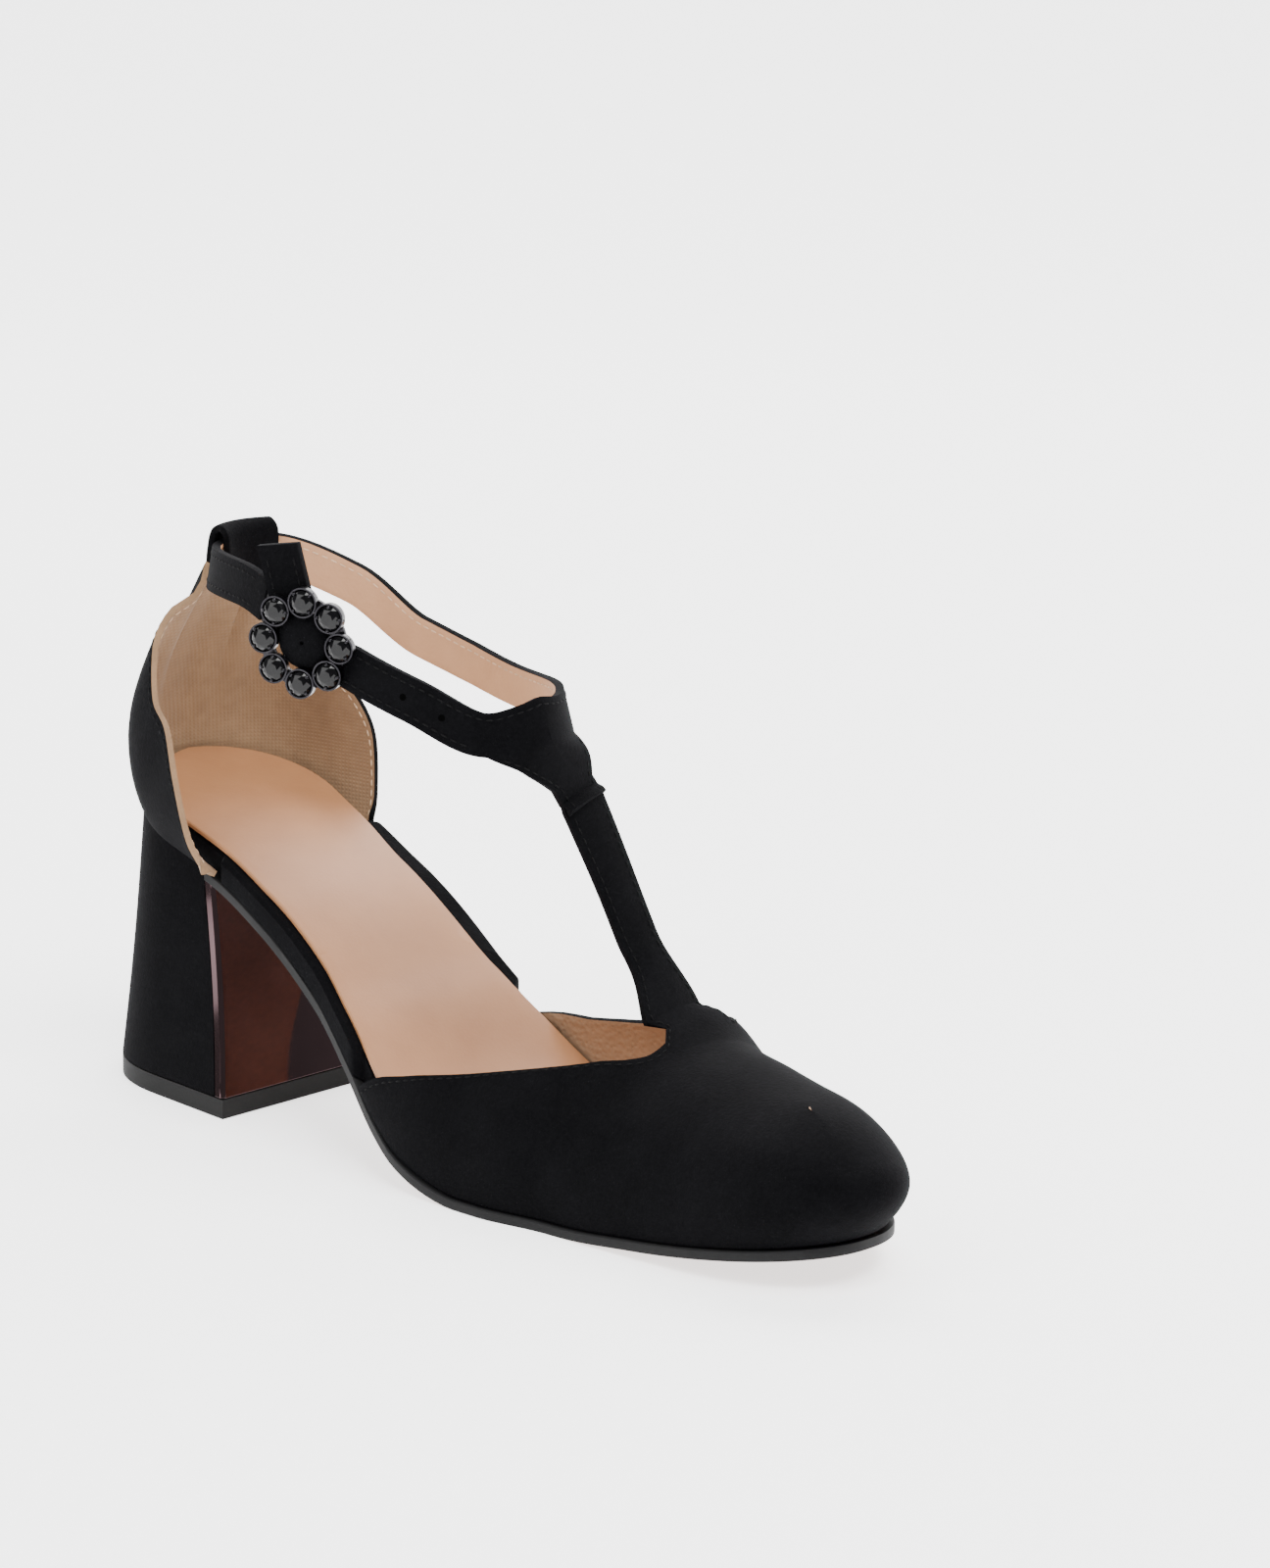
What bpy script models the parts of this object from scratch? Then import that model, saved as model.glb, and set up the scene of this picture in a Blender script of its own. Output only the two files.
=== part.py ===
"""Right T strap pump with open waist, block heel and stone set buckle.

The shoe is laid out in its own coordinates: u to the inner side of the foot, s forward from the
back of the heel seat, z up. place() turns them into the model's frame, where the toe looks along -Y
and the origin is the centre of the heel's floor face.
"""
import math
from collections import namedtuple

import bmesh
import bpy
import numpy as np

MM = 0.001
GAP = 0.3 * MM

# Driving sizes
LENGTH = 232.2 * MM
BALL_WIDTH = 78 * MM
HEEL_HEIGHT = 66.7 * MM
TOE_SPRING = 8.5 * MM
TOE_SWING = -3.5 * MM
INSTEP_HEIGHT = 42.9 * MM
COUNTER_HEIGHT = 56.6 * MM
ANKLE_LENGTH = 111.0 * MM
ANKLE_WIDTH = 56 * MM
STRAP_REAR_HEIGHT = 126.5 * MM
STRAP_FRONT_HEIGHT = 105.9 * MM

UPPER_WALL = 1.5 * MM
OUTSOLE_THICKNESS = 2.3 * MM
OUTSOLE_LEDGE = 1.0 * MM
INSOLE_THICKNESS = 5.2 * MM
SOCK_THICKNESS = 1.0 * MM
SOCK_MARGIN = 2.6 * MM
SOCK_WAIST_MARGIN = 6.5 * MM
BOARD_MARGIN = 2.5 * MM
TOE_MARGIN = 4.2 * MM

STRAP_WIDTH = 10 * MM
STRAP_THICKNESS = 2.0 * MM
T_BAR_WIDTH = 12.0 * MM
SEAM_WIDTH = 13.4 * MM
SEAM_SLANT = 3.5 * MM
TAB_WIDTH = 15.5 * MM
ELASTIC_THICKNESS = 1.2 * MM

HEEL_DEPTH = 54.5 * MM
HEEL_BASE_WIDTH = 64.5 * MM
HEEL_TOP_WIDTH = 46.3 * MM
HEEL_OVERHANG = 2.2 * MM
BREAST_TOP = 37.0 * MM
LIFT_THICKNESS = 4.7 * MM
PLATE_THICKNESS = 1.0 * MM
PLATE_RETURN = 2.9 * MM

FLOWER_RADIUS = 9.4 * MM
STONE_COUNT = 8
STONE_RADIUS = 2.85 * MM
CUP_WALL = 0.35 * MM
CUP_DEPTH = 2.4 * MM
CUP_FLOOR = 0.9 * MM
BAR_RADIUS = 0.9 * MM

# The heel's floor face runs from behind the seat to the breast; its middle is the origin
HEEL_CENTRE = HEEL_DEPTH / 2 - HEEL_OVERHANG

# The tread line: rise is a share of the heel height, spring a share of the toe spring
Bed = namedtuple("Bed", "along rise spring")
BED = [
    Bed(0.000, 1.000, 0.00),
    Bed(0.034, 0.965, 0.00),
    Bed(0.136, 0.841, 0.00),
    Bed(0.254, 0.682, 0.00),
    Bed(0.377, 0.387, 0.00),
    Bed(0.500, 0.072, 0.00),
    Bed(0.590, 0.000, 0.00),
    Bed(0.700, 0.000, 0.00),
    Bed(0.805, 0.000, 0.22),
    Bed(0.900, 0.000, 0.56),
    Bed(1.000, 0.000, 1.00),
]

# The last's outline before its ends are rounded, as shares of the ball width
Outline = namedtuple("Outline", "along outer inner")
OUTLINE = [
    Outline(0.000, 0.334, 0.330),
    Outline(0.093, 0.332, 0.334),
    Outline(0.174, 0.315, 0.339),
    Outline(0.254, 0.335, 0.319),
    Outline(0.340, 0.346, 0.327),
    Outline(0.400, 0.388, 0.335),
    Outline(0.460, 0.431, 0.377),
    Outline(0.530, 0.456, 0.421),
    Outline(0.615, 0.445, 0.474),
    Outline(0.700, 0.394, 0.515),
    Outline(0.770, 0.382, 0.496),
    Outline(1.000, 0.484, 0.490),
]
SEAT_ROUND = 0.110
TOE_FULLNESS = 1.5
OUTER_TOE_TURN = 0.737
INNER_TOE_TURN = 0.655

# The crown of the forepart over its feather line, as shares of the instep height
Crown = namedtuple("Crown", "along height middle")
CROWN = [
    Crown(0.40, 1.056, 0.05),
    Crown(0.60, 0.983, 0.10),
    Crown(0.69, 0.934, 0.168),
    Crown(0.74, 0.809, 0.123),
    Crown(0.80, 0.752, 0.119),
    Crown(0.86, 0.692, 0.113),
    Crown(0.91, 0.655, 0.100),
    Crown(1.00, 0.499, 0.08),
]
TOE_SLOPE = 0.095
TOE_SLOPE_START = 0.78
TOE_BULGE = 11.6 * MM
SIDE_BULGE = 0.035

# Throat of the forepart: side is the share of the way from feather line to crown
Throat = namedtuple("Throat", "side along")
OUTER_THROAT = [
    Throat(0.00, 0.429),
    Throat(0.20, 0.477),
    Throat(0.40, 0.561),
    Throat(0.60, 0.682),
    Throat(0.70, 0.711),
    Throat(0.80, 0.722),
    Throat(0.87, 0.719),
    Throat(0.90, 0.706),
]
INNER_THROAT = [
    Throat(0.00, 0.407),
    Throat(0.20, 0.470),
    Throat(0.40, 0.560),
    Throat(0.56, 0.643),
    Throat(0.66, 0.688),
    Throat(0.74, 0.703),
    Throat(0.79, 0.692),
]
FRONT_PANEL = 0.740

# T bar from the throat to the seam: along and height are shares of length and front strap height
Bar = namedtuple("Bar", "along height")
BAR = [
    Bar(0.690, 0.410),
    Bar(0.652, 0.541),
    Bar(0.609, 0.693),
    Bar(0.566, 0.836),
]
BAR_MIDDLE = 8.0 * MM
BAR_ROOT_SHIFT = 3.9 * MM
BAR_CROWN_RADIUS = 24 * MM

# Topline of the quarter: back is the share of the way round from the back seam to the front end,
# half the share of the half ball width, height the share of the counter height over the seat
Topline = namedtuple("Topline", "back half along height swell")
TOPLINE = [
    Topline(0.00, 0.000, 0.0745, 1.000, 1.00),
    Topline(0.12, 0.208, 0.0838, 1.000, 0.98),
    Topline(0.17, 0.260, 0.081, 0.890, 0.95),
    Topline(0.25, 0.442, 0.071, 0.807, 0.88),
    Topline(0.35, 0.633, 0.083, 0.675, 0.72),
    Topline(0.47, 0.711, 0.098, 0.469, 0.52),
    Topline(0.60, 0.764, 0.126, 0.379, 0.34),
    Topline(0.74, 0.823, 0.150, 0.184, 0.20),
    Topline(0.88, 0.780, 0.1610, -0.070, 0.10),
    Topline(1.00, 0.688, 0.1680, -0.215, 0.03),
]
COUNTER_SWELL = 6.3 * MM
QUARTER_END = 0.176

# Fold of the back tab beyond the topline, as shares of the tab's height over it
Fold = namedtuple("Fold", "along height width")
TAB_HEIGHT = 9.2 * MM
FOLD = [
    Fold(0.04, 0.40, 1.00),
    Fold(0.09, 0.66, 0.98),
    Fold(0.20, 0.88, 0.97),
    Fold(0.36, 0.99, 0.96),
    Fold(0.52, 1.02, 0.96),
    Fold(0.70, 0.96, 0.95),
    Fold(0.86, 0.76, 0.95),
    Fold(0.89, 0.42, 0.94),
    Fold(0.83, 0.02, 0.92),
    Fold(0.75, -0.36, 0.86),
    Fold(0.71, -0.60, 0.62),
]

# Ankle strap, by degrees from the front round the outer side; height is the share of the way from
# the front strap height to the rear strap height, lean the strap's tilt towards the ankle
Ring = namedtuple("Ring", "angle height lean")
RING = [
    Ring(0, 0.08, 0.40),
    Ring(12, 0.01, 0.36),
    Ring(27, -0.07, 0.28),
    Ring(53, 0.251, 0.14),
    Ring(88, 0.748, 0.06),
    Ring(116, 1.083, 0.08),
    Ring(164, 0.99, 0.18),
    Ring(180, 1.00, 0.20),
    Ring(198, 0.98, 0.18),
    Ring(230, 0.661, 0.10),
    Ring(252, 0.143, 0.08),
    Ring(289, -0.125, 0.10),
    Ring(322, -0.019, 0.20),
    Ring(345, 0.02, 0.34),
    Ring(360, 0.08, 0.40),
]
RING_BACK = TOPLINE[0].along * LENGTH + 2.8 * MM
T_SPREAD = 27
REAR_STRAP_END = 104

# The outer arm lies over the buckle's bar, turned up in its own plane, and ends in a free tail
BEND_ANGLE = 71
ARM_LIFT = 1.6 * MM
BEND_TURN = math.radians(57)
BUCKLE_TURN = math.radians(16)
LEAD_LENGTH = 6.5 * MM
BEND_LENGTH = 12 * MM
TAIL_LENGTH = 17 * MM
TAIL_SLANT = 0.1

UP = np.array([0.0, 0.0, 1.0])


def curve(table, name, over="along"):
    """Smooth monotone curve through one column of a table of sections."""
    x = np.array([getattr(row, over) for row in table], float)
    y = np.array([getattr(row, name) for row in table], float)
    step = np.diff(x)
    slope = np.diff(y) / step
    tangent = np.zeros(len(x))
    same = slope[:-1] * slope[1:] > 0
    w1 = 2 * step[1:] + step[:-1]
    w2 = step[1:] + 2 * step[:-1]
    safe = np.where(same, slope[:-1], 1), np.where(same, slope[1:], 1)
    tangent[1:-1] = np.where(same, (w1 + w2) / (w1 / safe[0] + w2 / safe[1]), 0)
    tangent[0] = slope[0]
    tangent[-1] = slope[-1]

    def value(at):
        at = np.clip(at, x[0], x[-1])
        k = np.clip(np.searchsorted(x, at, side="right") - 1, 0, len(step) - 1)
        t = (at - x[k]) / step[k]
        return (y[k] * (1 + 2 * t) * (1 - t) ** 2 + tangent[k] * step[k] * t * (1 - t) ** 2
                + y[k + 1] * t * t * (3 - 2 * t) + tangent[k + 1] * step[k] * t * t * (t - 1))

    return value


BED_RISE = curve(BED, "rise")
BED_SPRING = curve(BED, "spring")
OUTER = curve(OUTLINE, "outer")
INNER = curve(OUTLINE, "inner")


def tread(s):
    """Height of the sole's underside at a station."""
    share = np.asarray(s) / LENGTH
    return HEEL_HEIGHT * BED_RISE(share) + TOE_SPRING * BED_SPRING(share)


def layer(s, thickness):
    """Height of a surface that lies a thickness above the tread line."""
    step = 1 * MM
    slope = (tread(s + step) - tread(s - step)) / (2 * step)
    return tread(s) + thickness * np.sqrt(1 + slope ** 2)


def feather(s):
    """Height of the insole's underside, where upper and outsole meet."""
    return layer(s, OUTSOLE_THICKNESS + GAP)


def ease(x):
    """Smooth step from 0 to 1."""
    x = np.clip(x, 0, 1)
    return x * x * (3 - 2 * x)


def quarter_round(x, fullness=2.0):
    """Quarter circle, or a fuller curve, that falls from 1 to 0 as x goes from 0 to 1."""
    return np.sqrt(np.clip(1 - np.clip(x, 0, 1) ** fullness, 0, 1))


def outline(s, side):
    """Edge of the last's underside: side -1 is the outer edge, +1 the inner edge."""
    share = np.asarray(s, float) / LENGTH
    half = BALL_WIDTH * (OUTER(share) if side < 0 else INNER(share))
    turn = OUTER_TOE_TURN if side < 0 else INNER_TOE_TURN
    toe = quarter_round((share - turn) / (1 - turn), TOE_FULLNESS)
    back = quarter_round(1 - share / SEAT_ROUND)
    return (TOE_SWING * (1 - toe) + side * half * toe) * back


def stations(count, start=0.0, end=1.0):
    """Stations along the shoe, close together at both ends."""
    t = 0.5 - 0.5 * np.cos(np.pi * np.linspace(0, 1, count))
    return (start + (end - start) * t) * LENGTH


def place(points):
    """Shoe coordinates u, s, z to the model's frame."""
    points = np.asarray(points, float)
    return np.stack([points[..., 0], HEEL_CENTRE - points[..., 1], points[..., 2]], -1)


def material(name, colour, rough, metal=0.0):
    """Plain finish of one piece."""
    made = bpy.data.materials.new(name)
    made.use_nodes = True
    shader = made.node_tree.nodes["Principled BSDF"]
    shader.inputs["Base Color"].default_value = (*colour, 1)
    shader.inputs["Roughness"].default_value = rough
    shader.inputs["Metallic"].default_value = metal
    return made


def add_object(name, shape, finish, sharp=40):
    """Turn a bmesh into a named object."""
    mesh = bpy.data.meshes.new(name)
    shape.to_mesh(mesh)
    shape.free()
    mesh.shade_smooth()
    mesh.set_sharp_from_angle(angle=math.radians(sharp))
    mesh.materials.append(finish)
    made = bpy.data.objects.new(name, mesh)
    bpy.context.scene.collection.objects.link(made)
    return made


def grid_mesh(patches, flip=False):
    """One mesh from grids of points; points in the same place become one."""
    shape = bmesh.new()
    for patch in patches:
        rows, columns = patch.shape[:2]
        verts = [[shape.verts.new(p) for p in row] for row in place(patch)]
        for i in range(rows - 1):
            for j in range(columns - 1):
                face = [verts[i][j], verts[i][j + 1], verts[i + 1][j + 1], verts[i + 1][j]]
                shape.faces.new(face[::-1] if flip else face)
    bmesh.ops.remove_doubles(shape, verts=shape.verts, dist=0.01 * MM)
    return shape


def shell(name, patches, wall, finish, flip=False):
    """Skin of patches turned into a closed wall that grows to the skin's inner side."""
    made = add_object(name, grid_mesh(patches, flip), finish)
    thick = made.modifiers.new("wall", "SOLIDIFY")
    thick.thickness = wall
    thick.offset = -1
    return made


def loft(name, rings, finish, sharp=40):
    """Closed solid through rings that all have the same number of points."""
    shape = bmesh.new()
    verts = [[shape.verts.new(p) for p in ring] for ring in place(np.array(rings))]
    count = len(verts[0])
    for low, high in zip(verts, verts[1:]):
        for j in range(count):
            k = (j + 1) % count
            shape.faces.new((low[j], low[k], high[k], high[j]))
    shape.faces.new(verts[0][::-1])
    shape.faces.new(verts[-1])
    bmesh.ops.remove_doubles(shape, verts=shape.verts, dist=0.01 * MM)
    bmesh.ops.recalc_face_normals(shape, faces=shape.faces)
    return add_object(name, shape, finish, sharp)


def layer_ring(s, low, high, inset, chamfer=0.0, back=0.0, toe=0.0, columns=4):
    """Cross-section of a layer under the foot; back and toe say how far its ends are drawn in."""
    at = s - back * (1 - ease(s / (0.25 * LENGTH))) + toe * ease((s / LENGTH - 0.55) / 0.45)
    left = outline(at, -1) + inset[0]
    right = outline(at, 1) - inset[1]
    span = max(right - left, 0.2 * MM)
    middle = (left + right) / 2
    left = middle - span / 2
    right = middle + span / 2
    edge = min(chamfer, span / 4)
    across = np.linspace(left + edge, right - edge, columns)
    bottom = layer(s, low)
    top = layer(s, high)
    ring = [(u, s, bottom) for u in np.linspace(left, right, columns)]
    ring.append((right, s, top - edge))
    ring.extend((u, s, top) for u in across[::-1])
    ring.append((left, s, top - edge))
    return ring


def make_outsole(finish):
    """Thin sole from the heel's breast to the toe, a ledge wider than the upper."""
    start = (BREAST_TOP + GAP) / LENGTH
    rings = []
    for s in stations(40, start, 1.0):
        ledge = OUTSOLE_LEDGE * ease((s / LENGTH - 0.42) / 0.12)
        grown = s + ledge * ease((s / LENGTH - 0.9) / 0.1)
        ring = np.array(layer_ring(s, 0, OUTSOLE_THICKNESS, (-ledge, -ledge)))
        ring[:, 1] = grown
        rings.append(ring)
    return loft("outsole", rings, finish)


def insole_inset(s, side):
    """The insole fills the upper at seat and forepart and is flush with it at the waist."""
    step = 2.5 * MM
    corner = (OUTER_THROAT if side < 0 else INNER_THROAT)[0].along * LENGTH - GAP
    seat = QUARTER_END * LENGTH + GAP
    bare = ease((s - seat) / step) * ease((corner - s) / step)
    return BOARD_MARGIN * (1 - bare)


def make_insole(finish):
    """Wrapped board under the foot, bare at the waist between quarter and forepart."""
    marks = list(stations(34, BOARD_MARGIN / LENGTH, 1 - TOE_MARGIN / LENGTH))
    for mark in (QUARTER_END * LENGTH, OUTER_THROAT[0].along * LENGTH - 3 * MM,
                 INNER_THROAT[0].along * LENGTH - 3 * MM):
        marks.extend(mark + np.array([0.2, 1.2, 2.2, 3.0]) * MM)
    low = OUTSOLE_THICKNESS + GAP
    rings = []
    for s in sorted(marks):
        inset = (insole_inset(s, -1), insole_inset(s, 1))
        rings.append(layer_ring(s, low, low + INSOLE_THICKNESS, inset, 0.9 * MM, BOARD_MARGIN, TOE_MARGIN))
    return loft("insole", rings, finish)


def sock_inset(s):
    """Outer and inner margin of the sock; at the waist more of the inner rim is bare."""
    waist = math.sin(math.pi * min(max((s / LENGTH - 0.12) / 0.36, 0), 1))
    return SOCK_MARGIN, SOCK_MARGIN + (SOCK_WAIST_MARGIN - SOCK_MARGIN) * waist


def make_sock(finish):
    """Sock lining on the insole."""
    low = OUTSOLE_THICKNESS + INSOLE_THICKNESS + 2 * GAP
    toe = TOE_MARGIN + 2 * SOCK_THICKNESS
    rings = [layer_ring(s, low, low + SOCK_THICKNESS, sock_inset(s), 0.3 * MM, SOCK_MARGIN, toe)
             for s in stations(36, SOCK_MARGIN / LENGTH, 1 - toe / LENGTH)]
    return loft("sock_lining", rings, finish)


def forepart(s, side):
    """Point of the forepart's outer skin; side runs from -1 over the crown at 0 to +1."""
    share = s / LENGTH
    start = TOE_SLOPE_START
    near_toe = np.clip((share - start) / (1 - start), 0, 1) ** 2
    level = 1 - abs(side)
    angle = level * np.pi / 2
    back = TOE_SLOPE * LENGTH * (1 - np.cos(angle) ** 1.3) - TOE_BULGE * np.sin(2 * angle)
    at = s - near_toe * back
    height = INSTEP_HEIGHT * CROWN_HEIGHT(at / LENGTH)
    foot = outline(s, -1 if side < 0 else 1)
    middle = CROWN_MIDDLE(at / LENGTH) * BALL_WIDTH
    tip = outline(LENGTH, 1)
    reach = quarter_round((share - INNER_TOE_TURN) / (1 - INNER_TOE_TURN), TOE_FULLNESS)
    middle = tip + (middle - tip) * reach
    swell = 1 + (SIDE_BULGE + (TOE_BULGE / INSTEP_HEIGHT) * near_toe) * np.sin(2 * angle)
    u = middle + (foot - middle) * np.cos(angle) ** 0.86 * swell
    return np.array([u, at, feather(s) * (1 - level) + feather(at) * level + height * np.sin(angle) ** 0.95])


CROWN_HEIGHT = curve(CROWN, "height")
CROWN_MIDDLE = curve(CROWN, "middle")
BAR_HEIGHT = curve([Bar(-row.along, row.height) for row in BAR], "height")


def bar_row(share, spread, beyond=0.0):
    """One row across the T bar, share of the way up from the throat to the seam, or beyond it."""
    start, end = BAR[0].along, BAR[-1].along
    along = start + (end - start) * share
    step = 0.002
    s = along * LENGTH
    z = STRAP_FRONT_HEIGHT * BAR_HEIGHT(-along)
    rise = STRAP_FRONT_HEIGHT * (BAR_HEIGHT(-along + step) - BAR_HEIGHT(-along - step)) / (2 * step * LENGTH)
    normal = np.array([0, rise, 1]) / math.hypot(rise, 1)
    uphill = np.array([0, -1, rise]) / math.hypot(rise, 1)
    middle = BAR_MIDDLE + BAR_ROOT_SHIFT * (1 - ease(share / 0.34))
    half = T_BAR_WIDTH / 2 + (SEAM_WIDTH - T_BAR_WIDTH) / 2 * ease((share - 0.45) / 0.55)
    row = []
    for x in spread:
        drop = (x * half) ** 2 / (2 * BAR_CROWN_RADIUS)
        ahead = beyond + x * SEAM_SLANT / 2 * share ** 3
        row.append(np.array([middle + x * half, s, z]) - normal * drop + uphill * ahead)
    return np.array(row)


def side_marks(root, count):
    """Places from the bar's root down to the feather line, closer together at the root."""
    return root + (1 - root) * np.linspace(0, 1, count) ** 1.5


def make_vamp(finish):
    """Round forepart with both wings and the lower half of the T bar."""
    outer_root = 1 - OUTER_THROAT[-1].side
    inner_root = 1 - INNER_THROAT[-1].side
    outer = curve(OUTER_THROAT, "along", "side")
    inner = curve(INNER_THROAT, "along", "side")
    sides = np.concatenate([-side_marks(outer_root, 10)[::-1], np.linspace(-outer_root, inner_root, 7)[1:-1],
                            side_marks(inner_root, 8)])
    bar = slice(9, 16)
    throat = [outer(1 + side) if side < -outer_root else inner(1 - side) if side > inner_root
              else np.interp(side, [-outer_root, inner_root], [OUTER_THROAT[-1].along, INNER_THROAT[-1].along])
              for side in sides]
    even = np.linspace(-1, 1, len(sides))
    marks = 1 - np.cos(np.linspace(0, np.pi / 2, 16))
    front = [[forepart((1 - (1 - FRONT_PANEL) * m) * LENGTH, tip + (side - tip) * ease(m / 0.7))
              for side, tip in zip(sides, even)] for m in marks]
    back = [[forepart((FRONT_PANEL + (top - FRONT_PANEL) * t) * LENGTH, side) for side, top in zip(sides, throat)]
            for t in np.linspace(0, 1, 10)]
    base = np.array(back[-1][bar])
    spread = np.linspace(-1, 1, len(base))
    rows = [base]
    for share in 1 - np.cos(np.linspace(0, np.pi / 2, 13))[1:]:
        up = bar_row(share, spread)
        blend = (1 - ease(share / 0.34)) ** 2
        shape = base + (bar_row(share, [0])[0] - base[len(base) // 2])
        rows.append(up + (shape - up) * blend)
    return shell("vamp", [np.array(front), np.array(back), np.array(rows)], UPPER_WALL, finish)


def make_quarter(finish):
    """Closed counter whose topline narrows to a tab folded forward over the ankle strap."""
    half_columns = 14
    shares = np.sort(np.append(np.linspace(0, 1, half_columns) ** 0.9, TOPLINE[1].back))
    around = np.concatenate([-shares[:0:-1], shares])
    ends = np.linspace(0, 1, 80) ** 2 * QUARTER_END * LENGTH
    columns = []
    for p in around:
        side = -1 if p < 0 else 1
        edge = np.stack([outline(ends, side), ends], -1)
        run = np.append(0, np.cumsum(np.linalg.norm(np.diff(edge, axis=0), axis=1)))
        base_s = np.interp(abs(p) * run[-1], run, ends)
        base_u = np.interp(abs(p) * run[-1], run, edge[:, 0])
        base = np.array([base_u, base_s, feather(base_s)])
        k = abs(p)
        top = np.array([side * curve(TOPLINE, "half", "back")(k) * BALL_WIDTH / 2,
                        curve(TOPLINE, "along", "back")(k) * LENGTH,
                        HEEL_HEIGHT + OUTSOLE_THICKNESS + curve(TOPLINE, "height", "back")(k) * COUNTER_HEIGHT])
        away = np.array([base_u, base_s - SEAT_ROUND * LENGTH, 0])
        away /= np.linalg.norm(away)
        swell = COUNTER_SWELL * curve(TOPLINE, "swell", "back")(k)
        levels = np.linspace(0, 1, 11)
        columns.append([base + (top - base) * v + away * swell * math.sin(math.pi * v ** 0.85) for v in levels])
    skin = np.array(columns).transpose(1, 0, 2)
    tab = np.abs(around) <= TOPLINE[1].back + 1e-9
    base = skin[-1][tab]
    spread = base[:, 0] / (TAB_WIDTH / 2)
    rows = [base]
    for fold in FOLD:
        row = base.copy()
        row[:, 0] = spread * TAB_WIDTH / 2 * fold.width
        curl = row[:, 0] ** 2 * ANKLE_LENGTH / ANKLE_WIDTH ** 2
        row[:, 1] = TOPLINE[0].along * LENGTH + fold.along * TAB_HEIGHT + curl
        row[:, 2] = base[:, 2] + fold.height * TAB_HEIGHT
        rows.append(row)
    end = rows[-1].copy()
    end[:, 2] -= 0.16 * TAB_HEIGHT * quarter_round(np.abs(spread))
    rows[-1] = end
    return shell("quarter", [skin, np.array(rows)], UPPER_WALL, finish, flip=True)


RING_HEIGHT = curve(RING, "height", "angle")
RING_LEAN = curve(RING, "lean", "angle")


def ring_point(angle, lift=0.0):
    """Middle of the ankle strap at an angle from the front round the outer side."""
    turn = math.radians(angle)
    half = ANKLE_LENGTH / 2
    u = -(ANKLE_WIDTH / 2 + lift) * math.sin(turn)
    s = RING_BACK + half + (half + lift) * math.cos(turn)
    forward = max(math.cos(turn), 0)
    z = STRAP_FRONT_HEIGHT + (STRAP_REAR_HEIGHT - STRAP_FRONT_HEIGHT) * RING_HEIGHT(angle % 360)
    return np.array([u + TOE_SWING * forward, s, z])


def arm_lift(angle):
    """How far the outer arm stands off the rear strap's line."""
    return ARM_LIFT * ease((angle - 45) / (BEND_ANGLE - 45))


def ring_frame(angle, arm=False):
    """Middle, width direction and outward direction of the strap at an angle."""
    def at(turned):
        return ring_point(turned, arm_lift(turned) if arm else 0.0)

    along = at(angle + 2) - at(angle - 2)
    along /= np.linalg.norm(along)
    turn = math.radians(angle)
    outward = np.array([-math.sin(turn) * ANKLE_LENGTH, math.cos(turn) * ANKLE_WIDTH, 0])
    outward /= np.linalg.norm(outward)
    outward = outward + UP * RING_LEAN(angle % 360)
    outward -= along * outward.dot(along)
    outward /= np.linalg.norm(outward)
    return at(angle), np.cross(outward, along), outward


def arm_end(distance):
    """Middle, width direction, outward direction and heading of the arm beyond its bend."""
    middle, width, outward = ring_frame(BEND_ANGLE, arm=True)
    outward = outward * math.cos(BUCKLE_TURN) - np.cross(width, outward) * math.sin(BUCKLE_TURN)
    run = np.cross(width, outward)
    radius = BEND_LENGTH / BEND_TURN
    turn = min(max(distance - LEAD_LENGTH, 0) / BEND_LENGTH, 1) * BEND_TURN
    heading = run * math.cos(turn) + width * math.sin(turn)
    aside = width * math.cos(turn) - run * math.sin(turn)
    middle = middle + run * min(distance, LEAD_LENGTH)
    middle = middle + (run * math.sin(turn) + width * (1 - math.cos(turn))) * radius
    middle = middle + heading * max(distance - LEAD_LENGTH - BEND_LENGTH, 0)
    return middle, aside, outward, heading


def buckle_frame():
    """Centre of the strap under the buckle, and its width, outward and heading directions."""
    return arm_end(LEAD_LENGTH + BEND_LENGTH / 2)


def make_strap(finish):
    """T piece, medial arm round the back to the rear strap's end, and outer arm with its tail."""
    across = np.linspace(-0.5, 0.5, 5) * STRAP_WIDTH
    t_marks = np.linspace(-T_SPREAD, T_SPREAD, 13)
    rear = np.linspace(REAR_STRAP_END, 360 - T_SPREAD, 34)[:-1]
    arm = np.linspace(T_SPREAD, BEND_ANGLE, 13)[1:]
    skin = []
    for angle in np.concatenate([rear, 360 + t_marks]):
        middle, width, outward = ring_frame(angle)
        skin.append([middle + width * w for w in across])
    for angle in arm:
        middle, width, outward = ring_frame(angle, arm=True)
        skin.append([middle + width * w for w in across])
    tail = LEAD_LENGTH + BEND_LENGTH
    bend = LEAD_LENGTH + BEND_LENGTH * np.linspace(0, 1, 8)
    for distance in np.concatenate([bend, tail + TAIL_LENGTH * np.linspace(0, 1, 4)[1:]]):
        middle, width, outward, heading = arm_end(distance)
        slant = TAIL_SLANT * max(distance - tail, 0) / TAIL_LENGTH
        skin.append([middle + (width - heading * slant) * w for w in across])
    band = np.array(skin)
    first = len(rear)
    low = band[first:first + len(t_marks), 0]
    stem = [low] + [stem_row(fall, t_marks / T_SPREAD) for fall in np.linspace(0, 1, 8)[1:]]
    return shell("ankle_strap", [band, np.array(stem)], STRAP_THICKNESS, finish)


def ring_edge(angle):
    """Lower edge of the strap at an angle."""
    middle, width, outward = ring_frame(angle % 360)
    return middle - width * STRAP_WIDTH / 2


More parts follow.
